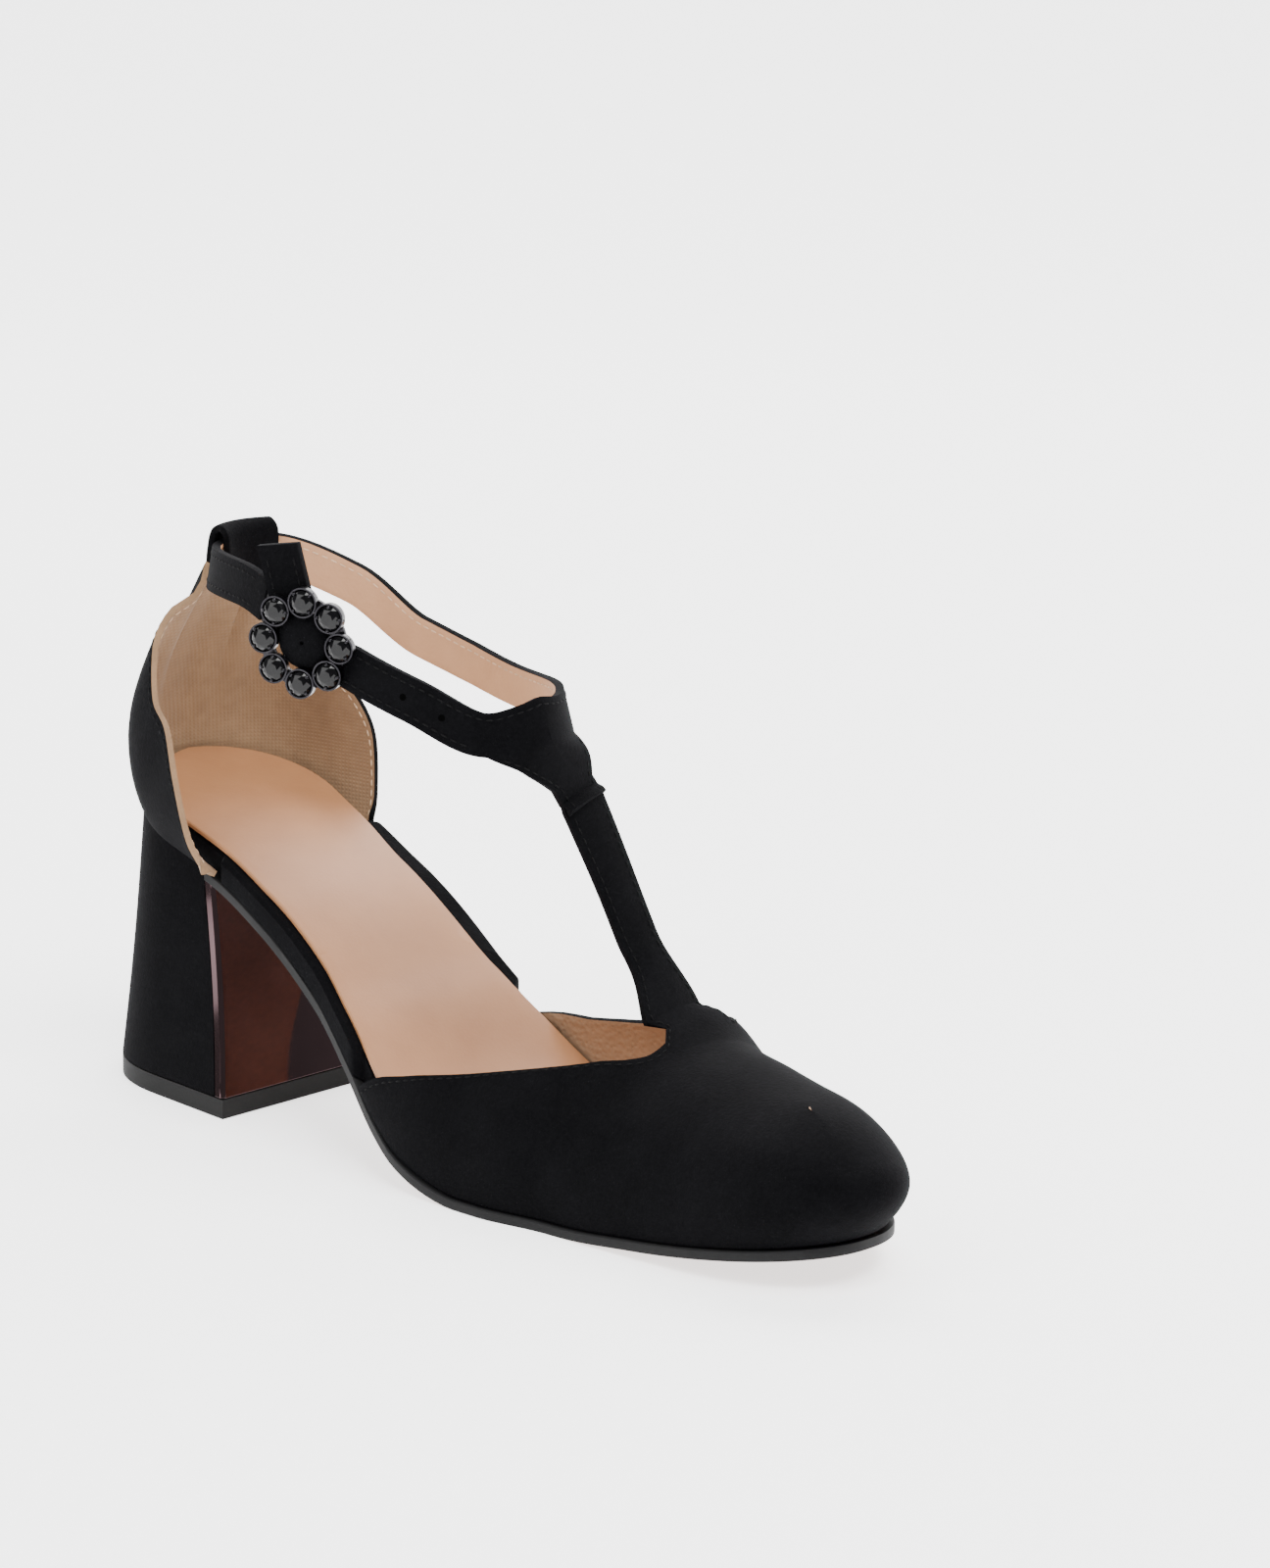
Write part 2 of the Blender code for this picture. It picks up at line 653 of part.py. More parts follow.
def stem_row(fall, spread):
    """Row of the T's stem, a share of the way down from the strap's lower edge to the seam."""
    root = np.array([ring_edge(x * T_SPREAD * (1 - fall) ** 1.5) for x in spread])
    row = root + (bar_row(1, -spread, GAP) - ring_edge(0)) * fall
    row[:, 0] -= spread * SEAM_WIDTH / 2 * fall * (1 - fall)
    return row


def heel_section(level, ahead):
    """Half width and station of the heel at a level from floor to top, a distance behind the breast."""
    depth = HEEL_DEPTH + (BREAST_TOP - HEEL_DEPTH) * level
    front = HEEL_DEPTH - HEEL_OVERHANG + (BREAST_TOP - HEEL_DEPTH + HEEL_OVERHANG) * level
    share = 1 - ahead / depth
    base = HEEL_BASE_WIDTH / 2 * (0.95 + 0.05 * share) * (1 - np.clip(1 - share / 0.55, 0, 1) ** 2.5) ** 0.4
    top = HEEL_TOP_WIDTH / 2 * (1.04 - 0.10 * share) * (1 - np.clip(1 - share / 0.62, 0, 1) ** 2.1) ** 0.48
    waisted = 1 - 0.03 * math.sin(math.pi * level)
    return (base + (top - base) * level) * waisted, front - ahead


def heel_depth(level):
    """Depth of the heel at a level from floor to top."""
    return HEEL_DEPTH + (BREAST_TOP - HEEL_DEPTH) * level


def heel_top(s):
    """Underside of what the heel carries."""
    return layer(s, OUTSOLE_THICKNESS)


def heel_ring(share, ahead, cut=0.0):
    """Cross-section of the block at a share of the way from its back to the plate's recess."""
    low = LIFT_THICKNESS + GAP
    crest = tread(BREAST_TOP) - GAP
    near = min(share, 1) ** 6
    side = []
    for part in np.linspace(0, 1, 7):
        top = heel_top(BREAST_TOP - ahead(1.0))
        z = low + (top - low) * part
        level = part + ((z - low) / (crest - low) - part) * near
        half, s = heel_section(level, ahead(level))
        side.append((max(half - cut, 0.3 * MM), s, z))
    outer = [(-half, s, z) for half, s, z in side]
    return outer[::-1] + side


def make_heel(finish):
    """Suede covered block that flares to the floor."""
    recess = PLATE_RETURN + GAP
    under = PLATE_THICKNESS + GAP
    rings = []
    for t in 1 - np.cos(np.linspace(0, np.pi / 2, 15)):
        rings.append(heel_ring(t, lambda level: heel_depth(level) + (recess - heel_depth(level)) * t))
    rings.append(heel_ring(1, lambda level: recess - 0.05 * MM, under))
    rings.append(heel_ring(1, lambda level: under, under))
    return loft("heel_block", rings, finish, 50)


def make_plate(finish):
    """Metal plate on the breast, bevelled and turned onto both sides."""
    bevel = 0.9 * MM
    wall = PLATE_THICKNESS
    low = LIFT_THICKNESS + GAP
    rings = []
    for level in np.linspace(0, 1, 5):
        half, front = heel_section(level, 0)
        side, rear = heel_section(level, PLATE_RETURN)
        outer = [(-side, rear), (-half, front - bevel), (-half + bevel, front)]
        outer += [(-x, y) for x, y in outer[::-1]]
        inner = [(side - wall, rear), (half - wall, front - wall)]
        inner += [(-x, y) for x, y in inner[::-1]]
        top = tread(BREAST_TOP) - GAP
        rings.append([(u, s, low + (top - low) * level) for u, s in outer + inner])
    return loft("heel_plate", rings, finish, 20)


def make_lift(finish):
    """Rubber top lift on the floor."""
    rings = []
    for share in 1 - np.cos(np.linspace(0, np.pi / 2, 17)):
        half, s = heel_section(0, HEEL_DEPTH * (1 - share))
        half = max(half, 0.3 * MM)
        rings.append([(-half, s, 0), (half, s, 0), (half, s, LIFT_THICKNESS), (-half, s, LIFT_THICKNESS)])
    return loft("top_lift", rings, finish, 50)


def make_elastic(finish):
    """Ribbed elastic from the rear strap's end to the buckle's bar."""
    half = STRAP_WIDTH / 2
    centre, aside, outward, heading = buckle_frame()
    clear = BAR_RADIUS + GAP
    end = centre - outward * (STRAP_THICKNESS + clear - ELASTIC_THICKNESS / 2) + heading * clear
    start, width, rear_out = ring_frame(REAR_STRAP_END - math.degrees(GAP / (ANKLE_LENGTH / 2)) * 1.2)
    start = start - rear_out * (STRAP_THICKNESS - ELASTIC_THICKNESS) / 2
    rings = []
    for share in np.linspace(0, 1, 5):
        middle = start + (end - start) * share
        across = (width + (aside - width) * share) * half
        normal = rear_out + (outward - rear_out) * share
        inside = middle - normal * ELASTIC_THICKNESS
        rings.append([middle - across, middle + across, inside + across, inside - across])
    return loft("buckle_elastic", rings, finish)


def turned(profile, centre, axis, spoke, segments, hollow=False):
    """Bmesh of a profile of radius and height turned about an axis; a hollow one closes on itself."""
    other = np.cross(axis, spoke)
    shape = bmesh.new()
    loops = []
    for radius, height in profile:
        loop = []
        for k in range(segments):
            a = 2 * math.pi * k / segments
            point = centre + axis * height + (spoke * math.cos(a) + other * math.sin(a)) * radius
            loop.append(shape.verts.new(place(point)))
        loops.append(loop)
    following = loops[1:] + loops[:1] if hollow else loops[1:]
    for low, high in zip(loops, following):
        for j in range(segments):
            k = (j + 1) % segments
            shape.faces.new((low[j], low[k], high[k], high[j]))
    if not hollow:
        shape.faces.new(loops[0][::-1])
        shape.faces.new(loops[-1])
    bmesh.ops.recalc_face_normals(shape, faces=shape.faces)
    return shape


def stone_place(index):
    """Centre of a stone's cup on the ring, at the level of the ring's back."""
    middle, width, outward, run = buckle_frame()
    angle = 2 * math.pi * index / STONE_COUNT
    spoke = width * math.cos(angle) + run * math.sin(angle)
    return middle + outward * GAP + spoke * FLOWER_RADIUS, outward, spoke


def join(target, others):
    """Boolean union of finished pieces into one object."""
    for other in others:
        union = target.modifiers.new("join", "BOOLEAN")
        union.operation = "UNION"
        union.object = other
        union.solver = "MANIFOLD"
        other.hide_render = True
        other.display_type = "WIRE"


def make_buckle(finish):
    """Ring of claw cups with a bar under the strap."""
    middle, width, outward, run = buckle_frame()
    back = middle + outward * GAP
    outer = FLOWER_RADIUS + 1.3 * MM
    inner = FLOWER_RADIUS - 1.9 * MM
    ring = turned([(inner, 0), (outer, 0), (outer, CUP_FLOOR), (inner, CUP_FLOOR)],
                  back, outward, width, 40, hollow=True)
    frame = add_object("buckle_frame", ring, finish)
    cups = []
    for index in range(STONE_COUNT):
        centre, axis, spoke = stone_place(index)
        rim = STONE_RADIUS + GAP
        wall = rim + CUP_WALL
        profile = [(wall * 0.86, 0.05 * MM), (wall, 0.8 * MM), (wall, CUP_DEPTH), (rim, CUP_DEPTH),
                   (rim, 2 * CUP_FLOOR), (rim * 0.5, CUP_FLOOR)]
        cups.append(add_object("cup_%d" % index, turned(profile, centre, axis, spoke, 12), finish))
    depth = STRAP_THICKNESS + GAP + BAR_RADIUS
    reach = STRAP_WIDTH / 2 + GAP + BAR_RADIUS
    for side in (-1, 1):
        foot = back + width * side * reach - outward * (GAP + depth)
        post = turned([(BAR_RADIUS, 0), (BAR_RADIUS, depth + GAP + 0.6 * MM)], foot, outward, run, 8)
        cups.append(add_object("post_%d" % side, post, finish))
        arm = turned([(BAR_RADIUS * 0.8, -0.5 * MM), (BAR_RADIUS * 0.8, 2.6 * MM)],
                     back + width * side * reach + outward * 0.45 * MM, width * side, run, 8)
        cups.append(add_object("arm_%d" % side, arm, finish))
    bar = turned([(BAR_RADIUS, -reach - 0.5 * MM), (BAR_RADIUS, reach + 0.5 * MM)],
                 back - outward * (GAP + depth), width, run, 8)
    cups.append(add_object("bar", bar, finish))
    join(frame, cups)
    return frame


def make_stones(finish):
    """Faceted stones, each in its cup."""
    for index in range(STONE_COUNT):
        centre, axis, spoke = stone_place(index)
        seat = centre + axis * 1.2 * MM
        radius = STONE_RADIUS
        profile = [(radius * 0.35, 0.05 * MM), (radius * 0.96, 0.9 * MM), (radius, 1.15 * MM),
                   (radius * 0.86, 1.75 * MM), (radius * 0.55, 2.15 * MM)]
        add_object("stone_%d" % (index + 1), turned(profile, seat, axis, spoke, 8), finish, 5)


def main():
    for old in list(bpy.data.objects):
        bpy.data.objects.remove(old)
    suede = material("black_suede", (0.006, 0.006, 0.007), 0.95)
    lining = material("beige_leather", (0.54, 0.34, 0.23), 0.55)
    sole = material("black_resin", (0.012, 0.012, 0.012), 0.45)
    rubber = material("black_rubber", (0.010, 0.010, 0.010), 0.70)
    gunmetal = material("gunmetal", (0.10, 0.10, 0.11), 0.25, 1.0)
    mirror = material("dark_bronze_mirror", (0.16, 0.12, 0.11), 0.06, 1.0)
    stone = material("black_glass", (0.004, 0.004, 0.005), 0.03)
    webbing = material("black_elastic", (0.01, 0.01, 0.01), 0.9)
    make_outsole(sole)
    make_insole(suede)
    make_sock(lining)
    make_vamp(suede)
    make_quarter(suede)
    make_strap(suede)
    make_elastic(webbing)
    make_heel(suede)
    make_plate(mirror)
    make_lift(rubber)
    make_buckle(gunmetal)
    make_stones(stone)


main()
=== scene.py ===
"""Photo match of the right T strap pump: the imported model's shape at a finer resolution, with its real
finishes, seams and stitches, on a pale floor and seen through the photo's camera.

Shoe coordinates are those of the source: u to the inner side of the foot, s forward, z up.
"""
import math
from collections import namedtuple

import bmesh
import bpy
import numpy as np
from mathutils import Matrix, Vector


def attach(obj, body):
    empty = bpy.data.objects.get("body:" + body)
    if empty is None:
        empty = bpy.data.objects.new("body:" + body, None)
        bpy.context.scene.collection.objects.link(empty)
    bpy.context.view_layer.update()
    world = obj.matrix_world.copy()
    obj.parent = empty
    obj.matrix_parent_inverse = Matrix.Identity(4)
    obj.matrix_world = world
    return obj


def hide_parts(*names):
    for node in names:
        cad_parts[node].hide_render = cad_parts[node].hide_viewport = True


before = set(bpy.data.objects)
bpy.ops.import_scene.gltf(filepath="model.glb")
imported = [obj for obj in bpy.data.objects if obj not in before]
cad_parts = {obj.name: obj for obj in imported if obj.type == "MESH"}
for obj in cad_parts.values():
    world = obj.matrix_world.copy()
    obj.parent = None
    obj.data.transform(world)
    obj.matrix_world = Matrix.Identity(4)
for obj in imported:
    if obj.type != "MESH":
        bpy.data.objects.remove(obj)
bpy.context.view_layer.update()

MM = 0.001
GAP = 0.3 * MM


def table(columns, rows):
    """Rows of values under named columns."""
    row = namedtuple("Row", columns)
    return [row(*values) for values in rows]


# Sizes of the shoe, as in the source
LENGTH = 232.2 * MM
BALL_WIDTH = 78 * MM
HEEL_HEIGHT = 66.7 * MM
TOE_SPRING = 8.5 * MM
TOE_SWING = -3.5 * MM
INSTEP_HEIGHT = 42.9 * MM
COUNTER_HEIGHT = 56.6 * MM
ANKLE_LENGTH = 111.0 * MM
ANKLE_WIDTH = 56 * MM
STRAP_REAR_HEIGHT = 126.5 * MM
STRAP_FRONT_HEIGHT = 105.9 * MM
UPPER_WALL = 1.5 * MM
OUTSOLE_THICKNESS = 2.3 * MM
OUTSOLE_LEDGE = 1.0 * MM
INSOLE_THICKNESS = 5.2 * MM
SOCK_THICKNESS = 1.0 * MM
SOCK_MARGIN = 2.6 * MM
SOCK_WAIST_MARGIN = 6.5 * MM
BOARD_MARGIN = 2.5 * MM
TOE_MARGIN = 4.2 * MM
STRAP_WIDTH = 10 * MM
STRAP_THICKNESS = 2.0 * MM
T_BAR_WIDTH = 12.0 * MM
SEAM_WIDTH = 13.4 * MM
SEAM_SLANT = 3.5 * MM
TAB_WIDTH = 15.5 * MM
ELASTIC_THICKNESS = 1.2 * MM
HEEL_DEPTH = 54.5 * MM
HEEL_BASE_WIDTH = 64.5 * MM
HEEL_TOP_WIDTH = 46.3 * MM
HEEL_OVERHANG = 2.2 * MM
BREAST_TOP = 37.0 * MM
LIFT_THICKNESS = 4.7 * MM
PLATE_THICKNESS = 1.0 * MM
PLATE_RETURN = 2.9 * MM
FLOWER_RADIUS = 9.4 * MM
STONE_COUNT = 8
STONE_RADIUS = 2.85 * MM
CUP_WALL = 0.35 * MM
CUP_DEPTH = 2.4 * MM
CUP_FLOOR = 0.9 * MM
BAR_RADIUS = 0.9 * MM

# The heel's floor face runs from behind the seat to the breast; its middle is the origin
HEEL_CENTRE = HEEL_DEPTH / 2 - HEEL_OVERHANG

# The tread line: rise is a share of the heel height, spring a share of the toe spring
BED = table("along rise spring", [
    (0.000, 1.000, 0.00),
    (0.034, 0.965, 0.00),
    (0.136, 0.841, 0.00),
    (0.254, 0.682, 0.00),
    (0.377, 0.387, 0.00),
    (0.500, 0.072, 0.00),
    (0.590, 0.000, 0.00),
    (0.700, 0.000, 0.00),
    (0.805, 0.000, 0.22),
    (0.900, 0.000, 0.56),
    (1.000, 0.000, 1.00),
])

# The last's outline before its ends are rounded, as shares of the ball width
OUTLINE = table("along outer inner", [
    (0.000, 0.334, 0.330),
    (0.093, 0.332, 0.334),
    (0.174, 0.315, 0.339),
    (0.254, 0.335, 0.319),
    (0.340, 0.346, 0.327),
    (0.400, 0.388, 0.335),
    (0.460, 0.431, 0.377),
    (0.530, 0.456, 0.421),
    (0.615, 0.445, 0.474),
    (0.700, 0.394, 0.515),
    (0.770, 0.382, 0.496),
    (1.000, 0.484, 0.490),
])
SEAT_ROUND = 0.110
TOE_FULLNESS = 1.5
OUTER_TOE_TURN = 0.737
INNER_TOE_TURN = 0.655

# The crown of the forepart over its feather line, as shares of the instep height
CROWN = table("along height middle", [
    (0.40, 1.056, 0.05),
    (0.60, 0.983, 0.10),
    (0.69, 0.934, 0.168),
    (0.74, 0.809, 0.123),
    (0.80, 0.752, 0.119),
    (0.86, 0.692, 0.113),
    (0.91, 0.655, 0.100),
    (1.00, 0.499, 0.08),
])
TOE_SLOPE = 0.095
TOE_SLOPE_START = 0.78
TOE_BULGE = 11.6 * MM
SIDE_BULGE = 0.035

# Throat of the forepart: side is the share of the way from feather line to crown
OUTER_THROAT = table("side along", [
    (0.00, 0.429),
    (0.20, 0.477),
    (0.40, 0.561),
    (0.60, 0.682),
    (0.70, 0.711),
    (0.80, 0.722),
    (0.87, 0.719),
    (0.90, 0.706),
])
INNER_THROAT = table("side along", [
    (0.00, 0.407),
    (0.20, 0.470),
    (0.40, 0.560),
    (0.56, 0.643),
    (0.66, 0.688),
    (0.74, 0.703),
    (0.79, 0.692),
])
FRONT_PANEL = 0.740

# T bar from the throat to the seam: along and height are shares of length and front strap height
BAR = table("along height", [
    (0.690, 0.410),
    (0.652, 0.541),
    (0.609, 0.693),
    (0.566, 0.836),
])
BAR_MIDDLE = 8.0 * MM
BAR_ROOT_SHIFT = 3.9 * MM
BAR_CROWN_RADIUS = 24 * MM

# Topline of the quarter: back is the share of the way round from the back seam to the front end,
# half the share of the half ball width, height the share of the counter height over the seat
TOPLINE = table("back half along height swell", [
    (0.00, 0.000, 0.0745, 1.000, 1.00),
    (0.12, 0.208, 0.0838, 1.000, 0.98),
    (0.17, 0.260, 0.081, 0.890, 0.95),
    (0.25, 0.442, 0.071, 0.807, 0.88),
    (0.35, 0.633, 0.083, 0.675, 0.72),
    (0.47, 0.711, 0.098, 0.469, 0.52),
    (0.60, 0.764, 0.126, 0.379, 0.34),
    (0.74, 0.823, 0.150, 0.184, 0.20),
    (0.88, 0.780, 0.1610, -0.070, 0.10),
    (1.00, 0.688, 0.1680, -0.215, 0.03),
])
COUNTER_SWELL = 6.3 * MM
QUARTER_END = 0.176

# Fold of the back tab beyond the topline, as shares of the tab's height over it
TAB_HEIGHT = 9.2 * MM
FOLD = table("along height width", [
    (0.04, 0.40, 1.00),
    (0.09, 0.66, 0.98),
    (0.20, 0.88, 0.97),
    (0.36, 0.99, 0.96),
    (0.52, 1.02, 0.96),
    (0.70, 0.96, 0.95),
    (0.86, 0.76, 0.95),
    (0.89, 0.42, 0.94),
    (0.83, 0.02, 0.92),
    (0.75, -0.36, 0.86),
    (0.71, -0.60, 0.62),
])

# Ankle strap, by degrees from the front round the outer side; height is the share of the way from
# the front strap height to the rear strap height, lean the strap's tilt towards the ankle
RING = table("angle height lean", [
    (0, 0.08, 0.40),
    (12, 0.01, 0.36),
    (27, -0.07, 0.28),
    (53, 0.251, 0.14),
    (88, 0.748, 0.06),
    (116, 1.083, 0.08),
    (164, 0.99, 0.18),
    (180, 1.00, 0.20),
    (198, 0.98, 0.18),
    (230, 0.661, 0.10),
    (252, 0.143, 0.08),
    (289, -0.125, 0.10),
    (322, -0.019, 0.20),
    (345, 0.02, 0.34),
    (360, 0.08, 0.40),
])
RING_BACK = TOPLINE[0].along * LENGTH + 2.8 * MM
T_SPREAD = 27
REAR_STRAP_END = 104

# The outer arm lies over the buckle's bar, turned up in its own plane, and ends in a free tail
BEND_ANGLE = 71
ARM_LIFT = 1.6 * MM
BEND_TURN = math.radians(57)
BUCKLE_TURN = math.radians(16)
LEAD_LENGTH = 6.5 * MM
BEND_LENGTH = 12 * MM
TAIL_LENGTH = 17 * MM
TAIL_SLANT = 0.1

# Heel at the floor and at its top: width, its share at the back, how much it gains towards the breast,
# how far the round of the back reaches, and the powers of that round
HEEL_FLOOR, HEEL_CROWN = table("width back gain reach fullness power", [
    (HEEL_BASE_WIDTH, 0.95, 0.05, 0.55, 2.5, 0.40),
    (HEEL_TOP_WIDTH, 1.04, -0.10, 0.62, 2.1, 0.48),
])
HEEL_WAIST = 0.03
HEEL_LEVELS = 25

# Finer forms that only the scene has
WELD = 0.01 * MM
# End of the tab inside the shoe, as shares of its height: how far its corners rise and its middle sinks
TAB_ROUND = 0.30
TAB_CUT = 0.16
SUEDE_EDGE = 0.35 * MM
STITCH_PITCH = 2.4 * MM
STITCH_LENGTH = 1.7 * MM
THREAD_RADIUS = 0.20 * MM
# A stitch: share of its length and of the thread's radius; it arches and sits a little sunk
STITCH_FORM = [(0.0, 0.35), (0.22, 1.0), (0.78, 1.0), (1.0, 0.35)]
STITCH_ARCH = 0.5
STITCH_SUNK = 0.25
EDGE_DISTANCE = 1.7 * MM
OVERLAP = 3.0 * MM
LAP_LIFT = 0.7 * MM
HOLE_RADIUS = 0.8 * MM
HOLE_PLACES = (8, 15)
HOLE_LIFT = 0.03 * MM
# Meshes: columns of the vamp on its outer side, over the bar and on its inner side; rows of its toe,
# wings and bar; columns of half the quarter and its levels
VAMP_COLUMNS = (30, 15, 24)
VAMP_ROWS = (40, 30, 40)
QUARTER_GRID = (40, 36)
# Round the toe's top and a throat corner the wall loses a share of its thickness
TIP_RADIUS = 16 * MM
CORNER_RADIUS = 5 * MM
THINNED = 0.85
TIP_PASSES = 60
# Topline seam: distance from the tab and place of its front end, as shares of the way round
SEAM_START = 0.02
SEAM_END = 0.985
RIB_COUNT = 48
RIB_DEPTH = 0.10 * MM
PLATE_BEVEL = 0.9 * MM

# Buckle: how far the ring's plate reaches beyond the flower's radius on both sides; a claw's profile is
# in shares of its radius and in millimetres
RING_OUTSIDE = 1.3 * MM
RING_INSIDE = 1.9 * MM
BAR_END = 0.5 * MM
POST_TOP = 0.6 * MM
ARM_LENGTH = 2.6 * MM
CLAW_COUNT = 4
CLAW_FOOT = 0.9 * MM
CLAW_RADIUS = 0.42 * MM
CLAW = [(0.8, 0), (1, 0.3), (1, 1.3), (0.8, 1.6), (0.35, 1.75)]
# Stone: share of its radius, height in millimetres, turn in facets, and number of corners
FACETS = [
    (0.35, 0.05, 0, 8),
    (0.96, 0.90, 0, 16),
    (1.00, 1.15, 0, 16),
    (0.80, 1.80, 0.5, 8),
    (0.50, 2.20, 0, 8),
]
STONE_SEAT = 1.2 * MM
DOME_HEIGHT = 2.2 * MM

# Points inside the shoe, from which stitches stand away
VAMP_CORE = (0, 0.62 * LENGTH, 0)
SEAT_CORE = (0, 0.13 * LENGTH)
ANKLE_CORE = (0, RING_BACK + ANKLE_LENGTH / 2)

# The photo's camera in degrees and millimetres, and its light
CAMERA = {
    "az": -44.870, "el": 14.888, "roll": 0.712,
    "distance": 1199.1, "lens": 125.22, "target": (-8.09, -139.28, 99.62),
}
# Each light: name, degrees round from the camera, degrees up, distance, size, watts
LIGHTS = [
    ("key", 40, 60, 1.6, (1.2, 0.9), 48),
    ("fill", -60, 38, 1.6, (0.8, 1.2), 14),
    ("back", 170, 50, 1.6, (1.6, 0.8), 26),
]
LIGHT_AIM = (0, -0.09, 0.06)
WORLD_STRENGTH = 0.30
PAPER_GLOW = 1.7
# Backdrop: half width, near end, where the floor ends, radius of its sweep and height
PAPER_HALF, PAPER_NEAR, PAPER_FAR, PAPER_ROUND, PAPER_HEIGHT = 4, -2.5, 0.9, 0.6, 3.0
UP = np.array([0.0, 0.0, 1.0])


def curve(rows, name, over="along"):
    """Smooth monotone curve through one column of a table of sections."""
    x = np.array([getattr(row, over) for row in rows], float)
    y = np.array([getattr(row, name) for row in rows], float)
    step = np.diff(x)
    slope = np.diff(y) / step
    tangent = np.zeros(len(x))
    same = slope[:-1] * slope[1:] > 0
    w1 = 2 * step[1:] + step[:-1]
    w2 = step[1:] + 2 * step[:-1]
    safe = np.where(same, slope[:-1], 1), np.where(same, slope[1:], 1)
    tangent[1:-1] = np.where(same, (w1 + w2) / (w1 / safe[0] + w2 / safe[1]), 0)
    tangent[0] = slope[0]
    tangent[-1] = slope[-1]

    def value(at):
        at = np.clip(at, x[0], x[-1])
        k = np.clip(np.searchsorted(x, at, side="right") - 1, 0, len(step) - 1)
        t = (at - x[k]) / step[k]
        return (y[k] * (1 + 2 * t) * (1 - t) ** 2 + tangent[k] * step[k] * t * (1 - t) ** 2
                + y[k + 1] * t * t * (3 - 2 * t) + tangent[k + 1] * step[k] * t * t * (t - 1))

    return value


def curves(rows, over="along"):
    """Curves through all the other columns of a table."""
    return [curve(rows, name, over) for name in rows[0]._fields if name != over]


BED_RISE, BED_SPRING = curves(BED)
OUTER, INNER = curves(OUTLINE)
CROWN_HEIGHT, CROWN_MIDDLE = curves(CROWN)
BAR_HEIGHT = curve(table("along height", [(-row.along, row.height) for row in BAR]), "height")
RING_HEIGHT, RING_LEAN = curves(RING, "angle")


def tread(s):
    """Height of the sole's underside at a station."""
    share = np.asarray(s) / LENGTH
    return HEEL_HEIGHT * BED_RISE(share) + TOE_SPRING * BED_SPRING(share)


def layer(s, thickness):
    """Height of a surface that lies a thickness above the tread line."""
    step = 1 * MM
    slope = (tread(s + step) - tread(s - step)) / (2 * step)
    return tread(s) + thickness * np.sqrt(1 + slope ** 2)


def feather(s):
    """Height of the insole's underside, where upper and outsole meet."""
    return layer(s, OUTSOLE_THICKNESS + GAP)


def ease(x):
    """Smooth step from 0 to 1."""
    x = np.clip(x, 0, 1)
    return x * x * (3 - 2 * x)


def quarter_round(x, fullness=2.0):
    """Quarter circle, or a fuller curve, that falls from 1 to 0 as x goes from 0 to 1."""
    return np.sqrt(np.clip(1 - np.clip(x, 0, 1) ** fullness, 0, 1))


def outline(s, side):
    """Edge of the last's underside: side -1 is the outer edge, +1 the inner edge."""
    share = np.asarray(s, float) / LENGTH
    half = BALL_WIDTH * (OUTER(share) if side < 0 else INNER(share))
    turn = OUTER_TOE_TURN if side < 0 else INNER_TOE_TURN
    toe = quarter_round((share - turn) / (1 - turn), TOE_FULLNESS)
    back = quarter_round(1 - share / SEAT_ROUND)
    return (TOE_SWING * (1 - toe) + side * half * toe) * back


def stations(count, start=0.0, end=1.0):
    """Stations along the shoe, close together at both ends."""
    t = 0.5 - 0.5 * np.cos(np.pi * np.linspace(0, 1, count))
    return (start + (end - start) * t) * LENGTH


def unit(vectors):
    """A vector, or each row of vectors, at length 1."""
    return vectors / np.linalg.norm(vectors, axis=-1, keepdims=True)


def place(points):
    """Shoe coordinates u, s, z to the model's frame."""
    points = np.asarray(points, float)
    return np.stack([points[..., 0], HEEL_CENTRE - points[..., 1], points[..., 2]], -1)


def layer_ring(s, low, high, inset, chamfer=0.0, back=0.0, toe=0.0, columns=4):
    """Cross-section of a layer under the foot; back and toe say how far its ends are drawn in."""
    at = s - back * (1 - ease(s / (0.25 * LENGTH))) + toe * ease((s / LENGTH - 0.55) / 0.45)
    left = outline(at, -1) + inset[0]
    right = outline(at, 1) - inset[1]
    span = max(right - left, 0.2 * MM)
    middle = (left + right) / 2
    left = middle - span / 2
    right = middle + span / 2
    edge = min(chamfer, span / 4)
    across = np.linspace(left + edge, right - edge, columns)
    bottom = layer(s, low)
    top = layer(s, high)
    ring = [(u, s, bottom) for u in np.linspace(left, right, columns)]
    ring.append((right, s, top - edge))
    ring.extend((u, s, top) for u in across[::-1])
    ring.append((left, s, top - edge))
    return ring


def insole_inset(s, side):
    """The insole fills the upper at seat and forepart and is flush with it at the waist."""
    step = 2.5 * MM
    corner = (OUTER_THROAT if side < 0 else INNER_THROAT)[0].along * LENGTH - GAP
    seat = QUARTER_END * LENGTH + GAP
    bare = ease((s - seat) / step) * ease((corner - s) / step)
    return BOARD_MARGIN * (1 - bare)


def sock_inset(s):
    """Outer and inner margin of the sock; at the waist more of the inner rim is bare."""
    waist = math.sin(math.pi * min(max((s / LENGTH - 0.12) / 0.36, 0), 1))
    return SOCK_MARGIN, SOCK_MARGIN + (SOCK_WAIST_MARGIN - SOCK_MARGIN) * waist


